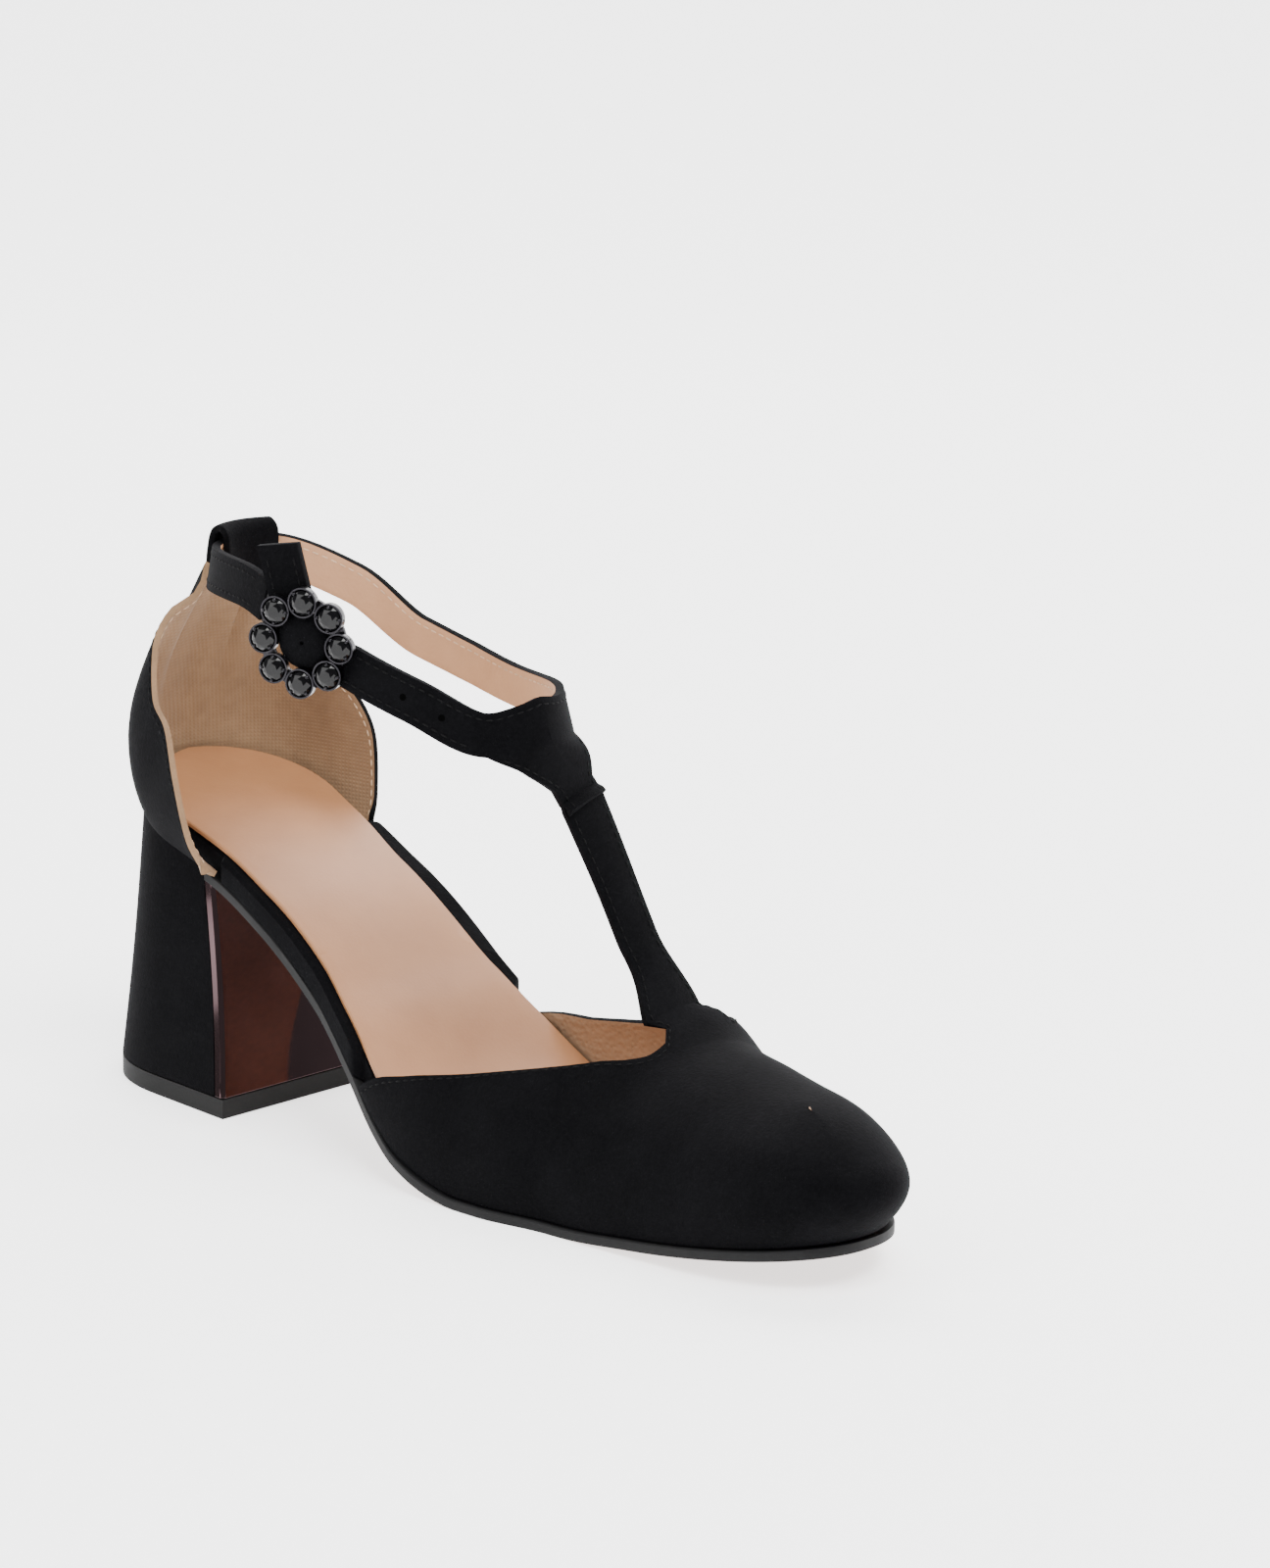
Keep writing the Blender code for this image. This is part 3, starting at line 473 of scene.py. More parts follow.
def forepart(s, side):
    """Point of the forepart's outer skin; side runs from -1 over the crown at 0 to +1."""
    share = s / LENGTH
    start = TOE_SLOPE_START
    near_toe = np.clip((share - start) / (1 - start), 0, 1) ** 2
    level = 1 - abs(side)
    angle = level * np.pi / 2
    back = TOE_SLOPE * LENGTH * (1 - np.cos(angle) ** 1.3) - TOE_BULGE * np.sin(2 * angle)
    at = s - near_toe * back
    height = INSTEP_HEIGHT * CROWN_HEIGHT(at / LENGTH)
    foot = outline(s, -1 if side < 0 else 1)
    middle = CROWN_MIDDLE(at / LENGTH) * BALL_WIDTH
    tip = outline(LENGTH, 1)
    reach = quarter_round((share - INNER_TOE_TURN) / (1 - INNER_TOE_TURN), TOE_FULLNESS)
    middle = tip + (middle - tip) * reach
    swell = 1 + (SIDE_BULGE + (TOE_BULGE / INSTEP_HEIGHT) * near_toe) * np.sin(2 * angle)
    u = middle + (foot - middle) * np.cos(angle) ** 0.86 * swell
    low = feather(s) * (1 - level) + feather(at) * level
    return np.array([u, at, low + height * np.sin(angle) ** 0.95])


def bar_row(share, spread, beyond=0.0):
    """One row across the T bar, share of the way up from the throat to the seam, or beyond it."""
    start, end = BAR[0].along, BAR[-1].along
    along = start + (end - start) * share
    step = 0.002
    s = along * LENGTH
    z = STRAP_FRONT_HEIGHT * BAR_HEIGHT(-along)
    gain = BAR_HEIGHT(-along + step) - BAR_HEIGHT(-along - step)
    rise = STRAP_FRONT_HEIGHT * gain / (2 * step * LENGTH)
    normal = np.array([0, rise, 1]) / math.hypot(rise, 1)
    uphill = np.array([0, -1, rise]) / math.hypot(rise, 1)
    middle = BAR_MIDDLE + BAR_ROOT_SHIFT * (1 - ease(share / 0.34))
    half = T_BAR_WIDTH / 2 + (SEAM_WIDTH - T_BAR_WIDTH) / 2 * ease((share - 0.45) / 0.55)
    row = []
    for x in spread:
        drop = (x * half) ** 2 / (2 * BAR_CROWN_RADIUS)
        ahead = beyond + x * SEAM_SLANT / 2 * share ** 3
        row.append(np.array([middle + x * half, s, z]) - normal * drop + uphill * ahead)
    return np.array(row)


def side_marks(root, count):
    """Places from the bar's root down to the feather line, closer together at the root."""
    return root + (1 - root) * np.linspace(0, 1, count) ** 1.5


def ring_point(angle, lift=0.0):
    """Middle of the ankle strap at an angle from the front round the outer side."""
    turn = math.radians(angle)
    half = ANKLE_LENGTH / 2
    u = -(ANKLE_WIDTH / 2 + lift) * math.sin(turn)
    s = RING_BACK + half + (half + lift) * math.cos(turn)
    forward = max(math.cos(turn), 0)
    z = STRAP_FRONT_HEIGHT + (STRAP_REAR_HEIGHT - STRAP_FRONT_HEIGHT) * RING_HEIGHT(angle % 360)
    return np.array([u + TOE_SWING * forward, s, z])


def arm_lift(angle):
    """How far the outer arm stands off the rear strap's line."""
    return ARM_LIFT * ease((angle - 45) / (BEND_ANGLE - 45))


def ring_frame(angle, arm=False):
    """Middle, width direction and outward direction of the strap at an angle."""
    def at(turned):
        return ring_point(turned, arm_lift(turned) if arm else 0.0)

    along = unit(at(angle + 2) - at(angle - 2))
    turn = math.radians(angle)
    outward = unit(np.array([-math.sin(turn) * ANKLE_LENGTH, math.cos(turn) * ANKLE_WIDTH, 0]))
    outward = outward + UP * RING_LEAN(angle % 360)
    outward -= along * outward.dot(along)
    outward = unit(outward)
    return at(angle), np.cross(outward, along), outward


def arm_end(distance):
    """Middle, width direction, outward direction and heading of the arm beyond its bend."""
    middle, width, outward = ring_frame(BEND_ANGLE, arm=True)
    outward = outward * math.cos(BUCKLE_TURN) - np.cross(width, outward) * math.sin(BUCKLE_TURN)
    run = np.cross(width, outward)
    radius = BEND_LENGTH / BEND_TURN
    turn = min(max(distance - LEAD_LENGTH, 0) / BEND_LENGTH, 1) * BEND_TURN
    heading = run * math.cos(turn) + width * math.sin(turn)
    aside = width * math.cos(turn) - run * math.sin(turn)
    middle = middle + run * min(distance, LEAD_LENGTH)
    middle = middle + (run * math.sin(turn) + width * (1 - math.cos(turn))) * radius
    middle = middle + heading * max(distance - LEAD_LENGTH - BEND_LENGTH, 0)
    return middle, aside, outward, heading


def buckle_frame():
    """Centre of the strap under the buckle, and its width, outward and heading directions."""
    return arm_end(LEAD_LENGTH + BEND_LENGTH / 2)


def ring_edge(angle):
    """Lower edge of the strap at an angle."""
    middle, width, outward = ring_frame(angle % 360)
    return middle - width * STRAP_WIDTH / 2


def stem_row(fall, spread):
    """Row of the T's stem, a share of the way down from the strap's lower edge to the seam."""
    root = np.array([ring_edge(x * T_SPREAD * (1 - fall) ** 1.5) for x in spread])
    row = root + (bar_row(1, -spread, GAP) - ring_edge(0)) * fall
    row[:, 0] -= spread * SEAM_WIDTH / 2 * fall * (1 - fall)
    return row


def heel_half(end, share):
    """Half width of the heel at one of its ends, share of the way from the back to the breast."""
    back = (1 - np.clip(1 - share / end.reach, 0, 1) ** end.fullness) ** end.power
    return end.width / 2 * (end.back + end.gain * share) * back


def heel_section(level, ahead):
    """Half width and station of the heel at a level from floor to top, a distance behind the breast."""
    front = HEEL_DEPTH - HEEL_OVERHANG + (BREAST_TOP - HEEL_DEPTH + HEEL_OVERHANG) * level
    share = 1 - ahead / heel_depth(level)
    base = heel_half(HEEL_FLOOR, share)
    top = heel_half(HEEL_CROWN, share)
    waisted = 1 - HEEL_WAIST * math.sin(math.pi * level)
    return (base + (top - base) * level) * waisted, front - ahead


def heel_depth(level):
    """Depth of the heel at a level from floor to top."""
    return HEEL_DEPTH + (BREAST_TOP - HEEL_DEPTH) * level


def heel_ring(share, ahead, cut=0.0):
    """Cross-section of the block at a share of the way from its back to the plate's recess."""
    low = LIFT_THICKNESS + GAP
    crest = tread(BREAST_TOP) - GAP
    top = layer(BREAST_TOP - ahead(1.0), OUTSOLE_THICKNESS)
    near = min(share, 1) ** 6
    side = []
    for part in np.linspace(0, 1, HEEL_LEVELS):
        z = low + (top - low) * part
        level = part + ((z - low) / (crest - low) - part) * near
        half, s = heel_section(level, ahead(level))
        side.append((max(half - cut, 0.3 * MM), s, z))
    outer = [(-half, s, z) for half, s, z in side]
    return outer[::-1] + side


def verts(shape, points):
    """New vertices at points in shoe coordinates."""
    return [shape.verts.new(p) for p in place(np.array(points))]


def circle(centre, first, second, radius, angles):
    """Points round a centre, by angles from one direction towards another."""
    return [centre + (first * math.cos(a) + second * math.sin(a)) * radius for a in angles]


def join(shape, loops, hollow=False):
    """Faces between loops of vertices; a hollow form closes on itself, any other gets two ends."""
    count = len(loops[0])
    following = loops[1:] + loops[:1] if hollow else loops[1:]
    for low, high in zip(loops, following):
        for j in range(count):
            k = (j + 1) % count
            shape.faces.new((low[j], low[k], high[k], high[j]))
    if not hollow:
        shape.faces.new(loops[0][::-1])
        shape.faces.new(loops[-1])


def turned(shape, profile, centre, axis, spoke, segments, hollow=False):
    """Add a profile of radius and height, turned about an axis."""
    other = np.cross(axis, spoke)
    angles = [2 * math.pi * k / segments for k in range(segments)]
    loops = [verts(shape, circle(centre + axis * height, spoke, other, radius, angles))
             for radius, height in profile]
    join(shape, loops, hollow)


def stone_place(index):
    """Centre of a stone's cup on the ring, at the level of the ring's back."""
    middle, width, outward, run = buckle_frame()
    angle = 2 * math.pi * index / STONE_COUNT
    spoke = width * math.cos(angle) + run * math.sin(angle)
    return middle + outward * GAP + spoke * FLOWER_RADIUS, outward, spoke


def linear(code):
    """Linear colour of an sRGB hex value."""
    parts = [int(code[k:k + 2], 16) / 255 for k in (1, 3, 5)]
    return tuple(p / 12.92 if p <= 0.04045 else ((p + 0.055) / 1.055) ** 2.4 for p in parts) + (1.0,)


def add(tree, kind, links=(), **settings):
    """Add a node, give it its settings and links; a setting named in capitals is an input socket."""
    made = tree.nodes.new("ShaderNode" + kind)
    for name, value in settings.items():
        if name[0].isupper():
            made.inputs[name.replace("_", " ")].default_value = value
        else:
            setattr(made, name, value)
    for source, socket in links:
        tree.links.new(source, made.inputs[socket])
    return made


def blank(name):
    """New material with its node tree, its shader and the object's own coordinates."""
    made = bpy.data.materials.new(name)
    made.use_nodes = True
    tree = made.node_tree
    return made, tree, tree.nodes["Principled BSDF"], add(tree, "TexCoord").outputs["Object"]


def set_shader(shader, **values):
    """Set values on the shader's own sockets."""
    for name, value in values.items():
        shader.inputs[name.replace("_", " ")].default_value = value


def noise(tree, place_at, size, detail, **settings):
    """Noise whose blotches have a real size."""
    made = add(tree, "TexNoise", [(place_at, "Vector")], Scale=1 / size, Detail=detail, **settings)
    return made.outputs["Fac"]


def base_colour(tree, shader, factor, low, high, start=0.3, end=0.7):
    """Base colour that goes from low to high between two values of a factor."""
    made = add(tree, "ValToRGB", [(factor, "Fac")])
    for stop, position, code in zip(made.color_ramp.elements, (start, end), (low, high)):
        stop.position = position
        stop.color = linear(code)
    tree.links.new(made.outputs["Color"], shader.inputs["Base Color"])


def shade(code, factor):
    """Hex colour made darker or lighter."""
    return "#%02X%02X%02X" % tuple(min(255, round(int(code[k:k + 2], 16) * factor)) for k in (1, 3, 5))


def bump(tree, shader, height, depth, strength=1.0):
    """Relief of a real depth on the shader."""
    made = add(tree, "Bump", [(height, "Height")], Distance=depth, Strength=strength)
    tree.links.new(made.outputs["Normal"], shader.inputs["Normal"])


def goat_suede():
    """Black goat suede, split and brushed: a soft matt nap that the hand shades in faint clouds."""
    made, tree, shader, place_at = blank("black_goat_suede")
    clouds = noise(tree, place_at, 14 * MM, 3.0, Roughness=0.6)
    nap = noise(tree, place_at, 0.9 * MM, 4.0, Roughness=0.7)
    mixed = add(tree, "Mix", [(clouds, "A"), (nap, "B")], Factor=0.55)
    base_colour(tree, shader, mixed.outputs["Result"], "#020203", "#0A0A0C", 0.34, 0.68)
    set_shader(shader, Roughness=0.92, IOR=1.45, Specular_IOR_Level=0.06, Sheen_Weight=0.03,
               Sheen_Roughness=0.5, Sheen_Tint=linear("#9A9AA4"))
    bump(tree, shader, nap, 0.22 * MM, 0.8)
    return made


def grained_leather(name, low, high, rough, grain, depth):
    """Dyed lining leather with a fine pebble: soft sheen, small creases between the grains."""
    made, tree, shader, place_at = blank(name)
    cells = add(tree, "TexVoronoi", [(place_at, "Vector")], feature="SMOOTH_F1", Scale=1 / grain,
                Randomness=1.0)
    base_colour(tree, shader, noise(tree, place_at, 9 * MM, 4.0, Roughness=0.6), low, high)
    set_shader(shader, Roughness=rough, IOR=1.47, Specular_IOR_Level=0.4)
    bump(tree, shader, cells.outputs["Distance"], depth, 0.7)
    return made


def woven_lining():
    """Beige microfibre backing of the quarter: a fine even weave that looks dull and a little dark."""
    made, tree, shader, place_at = blank("beige_microfibre")
    turned_at = add(tree, "Mapping", [(place_at, "Vector")], Rotation=(0, 0, math.radians(45)))
    warp, weft = (add(tree, "TexWave", [(turned_at.outputs["Vector"], "Vector")], Scale=1 / (2.8 * MM),
                      bands_direction=axis, Distortion=1.2, Detail=1.0) for axis in "ZX")
    crossing = [(warp.outputs["Fac"], 0), (weft.outputs["Fac"], 1)]
    weave = add(tree, "Math", crossing, operation="MULTIPLY")
    base_colour(tree, shader, noise(tree, place_at, 6 * MM, 5.0, Roughness=0.65), "#80654B", "#8C6F53")
    set_shader(shader, Roughness=0.85, IOR=1.45, Specular_IOR_Level=0.25, Sheen_Weight=0.15)
    bump(tree, shader, weave.outputs["Value"], 0.12 * MM, 0.6)
    return made


def plain(name, colour, rough, metal=0.0, grain=3 * MM, depth=0.0, **values):
    """Moulded, painted or polished surface with a faint unevenness of tone and relief."""
    made, tree, shader, place_at = blank(name)
    speck = noise(tree, place_at, grain, 3.0)
    base_colour(tree, shader, speck, shade(colour, 0.90), shade(colour, 1.08))
    set_shader(shader, Roughness=rough, Metallic=metal, **values)
    if depth:
        bump(tree, shader, speck, depth, 0.6)
    return made


def linked(name, data):
    """New object in the scene."""
    made = bpy.data.objects.new(name, data)
    bpy.context.scene.collection.objects.link(made)
    return made


def new_piece(name, shape, finishes, sharp=50):
    """Object of a bmesh with its finishes."""
    mesh = bpy.data.meshes.new(name)
    shape.to_mesh(mesh)
    shape.free()
    mesh.shade_smooth()
    mesh.set_sharp_from_angle(angle=math.radians(sharp))
    for one in finishes:
        mesh.materials.append(one)
    return linked(name, mesh)


def soften(piece, width, segments=2, angle=40):
    """Round the piece's edges."""
    edge = piece.modifiers.new("edge", "BEVEL")
    edge.width = width
    edge.segments = segments
    edge.limit_method = "ANGLE"
    edge.angle_limit = math.radians(angle)
    edge.harden_normals = False


def stand_for(piece, node):
    """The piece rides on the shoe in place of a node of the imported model."""
    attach(piece, "root")
    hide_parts(node)
    return piece


def trim(piece):
    """A small piece that only the scene has."""
    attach(piece, "root")
    return piece


def grid_mesh(patches, flip=False, finishes=None):
    """One mesh from grids of points; points in the same place become one."""
    shape = bmesh.new()
    for number, patch in enumerate(patches):
        rows, columns = patch.shape[:2]
        grid = [verts(shape, row) for row in patch]
        for i in range(rows - 1):
            for j in range(columns - 1):
                face = [grid[i][j], grid[i][j + 1], grid[i + 1][j + 1], grid[i + 1][j]]
                made = shape.faces.new(face[::-1] if flip else face)
                made.material_index = finishes[number] if finishes else 0
    bmesh.ops.remove_doubles(shape, verts=shape.verts, dist=WELD)
    return shape


def wall_piece(node, name, patches, wall, finishes, flip=False, patch_finishes=None, rim=0):
    """Upper part of two leathers: a patch's finish outside and the one after it inside."""
    made = new_piece(name, grid_mesh(patches, flip, patch_finishes), finishes, 60)
    thick = made.modifiers.new("wall", "SOLIDIFY")
    thick.thickness = wall
    thick.offset = -1
    thick.material_offset = 1
    thick.material_offset_rim = rim
    soften(made, SUEDE_EDGE)
    return stand_for(made, node)


def even_tip(piece, tip, corner):
    """Even out the mesh at the toe's top, where its columns meet; thin the wall there and at a corner."""
    group = piece.vertex_groups.new(name="tip")
    wall = piece.vertex_groups.new(name="wall")
    centre = Vector(place(tip))
    notch = Vector(place(corner))
    for vert in piece.data.vertices:
        near = 1 - (vert.co - centre).length / TIP_RADIUS
        beside = 1 - (vert.co - notch).length / CORNER_RADIUS
        if near > 0:
            group.add([vert.index], min(near * 2, 1), "REPLACE")
        wall.add([vert.index], 1 - THINNED * min(max(near * 3, beside, 0), 1), "REPLACE")
    thick = piece.modifiers["wall"]
    thick.vertex_group = "wall"
    even = piece.modifiers.new("tip", "SMOOTH")
    even.factor = 0.5
    even.iterations = TIP_PASSES
    even.vertex_group = "tip"
    piece.modifiers.move(len(piece.modifiers) - 1, 0)


def closed_piece(name, shape, finishes, sharp=50):
    """Object of closed forms, their faces turned outward."""
    bmesh.ops.recalc_face_normals(shape, faces=shape.faces)
    return new_piece(name, shape, finishes, sharp)


def lofted(node, name, rings, finishes, width, segments=2, angle=40, sharp=50):
    """Solid through rings of as many points each, with rounded edges, in place of a node."""
    shape = bmesh.new()
    join(shape, [verts(shape, ring) for ring in rings])
    bmesh.ops.remove_doubles(shape, verts=shape.verts, dist=WELD)
    piece = closed_piece(name, shape, finishes, sharp)
    soften(piece, width, segments, angle)
    return stand_for(piece, node)


def arc_length(line):
    """Distance along a line of points, at each point."""
    return np.append(0, np.cumsum(np.linalg.norm(np.diff(line, axis=0), axis=1)))


def seam_line(edge, inward, core, depth):
    """Line of a seam beside an edge, and the direction in which its stitches stand up."""
    edge = np.asarray(edge, float)
    into = unit(np.asarray(inward, float) - edge)
    normal = unit(np.cross(np.gradient(edge, axis=0), into))
    away = edge - np.array([*core, 0][:3])
    if len(core) == 2:
        away[:, 2] = 0
    normal *= np.sign((normal * away).sum(1))[:, None]
    line = edge + into * EDGE_DISTANCE - normal * depth
    return line, -normal if depth else normal


def stitches(name, edge, inward, finish, core, depth=0.0):
    """Row of thread stitches beside an edge.

    inward holds a point further in for each point of the edge; core is a point inside the shoe, or the
    u and s of an upright axis; a depth puts the row on the lining's side of the wall.
    """
    line, normal = seam_line(edge, inward, core, depth)
    run = arc_length(line)
    count = max(int(run[-1] / STITCH_PITCH), 1)
    shape = bmesh.new()
    for k in range(count):
        at = (k + 0.5) * run[-1] / count
        places = (line, -STITCH_LENGTH / 2), (line, STITCH_LENGTH / 2), (normal, 0)
        start, end, up = (np.array([np.interp(at + shift, run, values[:, a]) for a in range(3)])
                          for values, shift in places)
        across = unit(np.cross(end - start, up))
        loops = []
        for share, radius in STITCH_FORM:
            rise = STITCH_ARCH * math.sin(math.pi * share) - STITCH_SUNK
            centre = start + (end - start) * share + up * THREAD_RADIUS * rise
            loops.append(verts(shape, circle(centre, across, up, THREAD_RADIUS * radius,
                                             np.arange(6) * math.pi / 3)))
        join(shape, loops)
    trim(closed_piece(name, shape, [finish], 70))


def falling(count):
    """Steps from 0 to 1 that lie closer together at the start."""
    return 1 - np.cos(np.linspace(0, np.pi / 2, count))


def vamp_patches(column_counts, row_counts):
    """Grids of the forepart's outer skin: toe, wings with the throat, and T bar."""
    left, middle, right = column_counts
    front_rows, back_rows, bar_rows = row_counts
    roots = -(1 - OUTER_THROAT[-1].side), 1 - INNER_THROAT[-1].side
    outer, inner = (curve(rows, "along", "side") for rows in (OUTER_THROAT, INNER_THROAT))
    sides = np.concatenate([
        -side_marks(-roots[0], left)[::-1],
        np.linspace(*roots, middle)[1:-1],
        side_marks(roots[1], right),
    ])
    bar = slice(left - 1, left + middle - 1)
    ends = [OUTER_THROAT[-1].along, INNER_THROAT[-1].along]
    throat = [outer(1 + side) if side < roots[0] else inner(1 - side) if side > roots[1]
              else np.interp(side, roots, ends) for side in sides]
    even = np.linspace(-1, 1, len(sides))
    front = [[forepart((1 - (1 - FRONT_PANEL) * m) * LENGTH, tip + (side - tip) * ease(m / 0.7))
              for side, tip in zip(sides, even)] for m in falling(front_rows)]
    back = [[forepart((FRONT_PANEL + (top - FRONT_PANEL) * t) * LENGTH, side)
             for side, top in zip(sides, throat)] for t in np.linspace(0, 1, back_rows)]
    base = np.array(back[-1][bar])
    spread = np.linspace(-1, 1, len(base))
    rows = [base]
    for share in falling(bar_rows)[1:]:
        up = bar_row(share, spread)
        blend = (1 - ease(share / 0.34)) ** 2
        shape = base + (bar_row(share, [0])[0] - base[len(base) // 2])
        rows.append(up + (shape - up) * blend)
    return np.array(front), np.array(back), np.array(rows), bar


def make_vamp(suede, lining, thread):
    """Forepart with its throat line stitched round and up the T bar."""
    front, back, bar, root = vamp_patches(VAMP_COLUMNS, VAMP_ROWS)
    piece = wall_piece("vamp", "vamp_leather", [front, back, bar], UPPER_WALL, [suede, lining])
    even_tip(piece, forepart(LENGTH, 0), bar[0, 0])
    wings = ("outer", slice(None, root.start), 0, 1), ("inner", slice(None, root.stop - 1, -1), -1, -2)
    for name, wing, rim, beside in wings:
        edge = np.concatenate([back[-1][wing], bar[:, rim]])
        into = np.concatenate([back[-2][wing], bar[:, beside]])
        stitches("throat_stitches_" + name, edge[:-2], into[:-2], thread, VAMP_CORE)


def quarter_skin(half_columns, levels):
    """Grid of the counter from its lower edge up to the topline, and its columns' places round it."""
    shares = np.sort(np.append(np.linspace(0, 1, half_columns) ** 0.9, TOPLINE[1].back))
    around = np.concatenate([-shares[:0:-1], shares])
    ends = np.linspace(0, 1, 80) ** 2 * QUARTER_END * LENGTH
    half, along, height, swelling = curves(TOPLINE, "back")
    columns = []
    for p in around:
        side = -1 if p < 0 else 1
        k = abs(p)
        edge = np.stack([outline(ends, side), ends], -1)
        run = arc_length(edge)
        base_s = np.interp(k * run[-1], run, ends)
        base_u = np.interp(k * run[-1], run, edge[:, 0])
        base = np.array([base_u, base_s, feather(base_s)])
        top = np.array([side * half(k) * BALL_WIDTH / 2, along(k) * LENGTH,
                        HEEL_HEIGHT + OUTSOLE_THICKNESS + height(k) * COUNTER_HEIGHT])
        away = unit(np.array([base_u, base_s - SEAT_ROUND * LENGTH, 0]))
        swell = COUNTER_SWELL * swelling(k)
        columns.append([base + (top - base) * v + away * swell * math.sin(math.pi * v ** 0.85)
                        for v in np.linspace(0, 1, levels)])
    return np.array(columns).transpose(1, 0, 2), around


def tab_rows(base):
    """Back tab from the topline, folded forward and down inside."""
    folds = [(0, 0, 0, 1)] + [(k + 1, *fold) for k, fold in enumerate(FOLD)]
    along, height, width = curves(table("step along height width", folds), "step")
    spread = base[:, 0] / (TAB_WIDTH / 2)
    round_end = 1 - quarter_round(np.abs(spread))
    rows = [base]
    for step in np.linspace(0, len(FOLD), 44)[1:]:
        begun = min(step, 1)
        ended = max(step - len(FOLD) + 2, 0) / 2
        row = base.copy()
        row[:, 0] = spread * TAB_WIDTH / 2 * width(step)
        curl = row[:, 0] ** 2 * ANKLE_LENGTH / ANKLE_WIDTH ** 2
        folded = TOPLINE[0].along * LENGTH + along(step) * TAB_HEIGHT
        row[:, 1] = base[:, 1] * (1 - begun) + (folded + curl) * begun
        row[:, 2] = base[:, 2] + TAB_HEIGHT * (height(step) + (TAB_ROUND * round_end - TAB_CUT) * ended)
        rows.append(row)
    return np.array(rows)


def make_quarter(suede, lining, thread, pale_thread):
    """Counter with its topline stitched, and the tab that folds over the ankle strap."""
    skin, around = quarter_skin(*QUARTER_GRID)
    tab = tab_rows(skin[-1][np.abs(around) <= TOPLINE[1].back + 1e-9])
    half = len(around) // 2 + 1
    finishes = [suede, lining, lining, suede, lining, suede, suede, suede]
    wall_piece("quarter", "quarter_leather", [skin[:, :half], skin[:, half - 1:], tab], UPPER_WALL,
               finishes, True, [0, 3, 5], 2)
    for side, name in ((-1, "outer"), (1, "inner")):
        keep = (around * side > TOPLINE[1].back + SEAM_START) & (np.abs(around) < SEAM_END)
        edge, into = skin[-1][keep], skin[-3][keep]
        stitches("topline_stitches_" + name, edge, into, thread, SEAT_CORE)
        stitches("lining_stitches_" + name, edge, into, pale_thread, SEAT_CORE, UPPER_WALL)


def lap_row(spread, reach):
    """Row of the stem's end, which lies over the top of the vamp's bar and is sewn to it."""
    row = bar_row(1, spread, GAP)
    below = bar_row(1, spread, GAP - 1 * MM)
    along = below - row
    across = np.gradient(row, axis=0)
    lift = unit(np.cross(along, across))
    lift *= np.sign(lift[:, 2])[:, None]
    slope = unit(along)
    return row + slope * reach + lift * LAP_LIFT * ease(reach / OVERLAP * 1.5)


def strap_rows(marks, arm_marks, tail_marks):
    """Frames of the band from the rear strap's end round the inner side to the free tail."""
    frames = [ring_frame(angle) for angle in marks]
    frames += [ring_frame(angle, arm=True) for angle in arm_marks]
    for distance in tail_marks:
        middle, width, outward, heading = arm_end(distance)
        slant = TAIL_SLANT * max(distance - LEAD_LENGTH - BEND_LENGTH, 0) / TAIL_LENGTH
        frames.append((middle, width - heading * slant, outward))
    return frames


def make_strap(suede, lining, thread, pale_thread):
    """T piece with both arms; its stem lies over the vamp's bar and is stitched to it."""
    across = np.linspace(-0.5, 0.5, 9) * STRAP_WIDTH
    t_marks = np.linspace(-T_SPREAD, T_SPREAD, 37)
    rear = np.linspace(REAR_STRAP_END, 360 - T_SPREAD, 110)[:-1]
    bent = LEAD_LENGTH + BEND_LENGTH
    tail = np.append(np.linspace(0, bent, 24)[1:], bent + TAIL_LENGTH * np.linspace(0, 1, 12)[1:])
    frames = strap_rows(np.append(rear, 360 + t_marks), np.linspace(T_SPREAD, BEND_ANGLE, 26)[1:], tail)
    band = np.array([[middle + width * w for w in across] for middle, width, outward in frames])
    first = len(rear)
    last = first + len(t_marks)
    spread = t_marks / T_SPREAD
    stem = [band[first:last, 0]]
    stem += [stem_row(fall, spread) for fall in np.linspace(0, 1, 18)[1:]]
    stem += [lap_row(-spread, beyond) for beyond in np.linspace(0, OVERLAP, 6)[1:]]
    stem = np.array(stem)
    wall_piece("ankle_strap", "ankle_strap_leather", [band, stem], STRAP_THICKNESS, [suede, lining])
    upper, lower = (band[:, -1], band[:, -2]), (band[:, 0], band[:, 1])
    rows = [
        ("strap_stitches_upper", upper, slice(2, -2), thread, 0),
        ("strap_stitches_rear", lower, slice(2, first - 2), thread, 0),
        ("strap_stitches_arm", lower, slice(last + 2, -2), thread, 0),
        ("strap_lining_stitches", upper, slice(2, -2), pale_thread, STRAP_THICKNESS),
        ("stem_stitches_outer", (stem[:, -1], stem[:, -2]), slice(1, None), thread, 0),
        ("stem_stitches_inner", (stem[:, 0], stem[:, 1]), slice(1, None), thread, 0),
    ]
    for name, (edge, beside), part, finish, depth in rows:
        stitches(name, edge[part], beside[part], finish, ANKLE_CORE, depth)
    punched_holes([frames[last + k] for k in HOLE_PLACES])


def punched_holes(frames):
    """Small round adjustment holes on the outer arm, at some of its frames, drawn as black discs of
    painted shade on both faces.
    """
    # The holes are not cut: a black disc of painted shade lies just off each face of the arm in their
    # place.
    dark = plain("hole_shadow", "#050505", 0.9, Specular_IOR_Level=0.0)
    shape = bmesh.new()
    angles = np.linspace(0, 2 * math.pi, 20, endpoint=False)
    for middle, width, outward in frames:
        run = np.cross(width, outward)
        for level in (HOLE_LIFT, -STRAP_THICKNESS - HOLE_LIFT):
            ring = circle(middle + outward * level, width, run, HOLE_RADIUS, angles)
            shape.faces.new(verts(shape, ring))
    trim(new_piece("strap_holes_painted_shade", shape, [dark]))


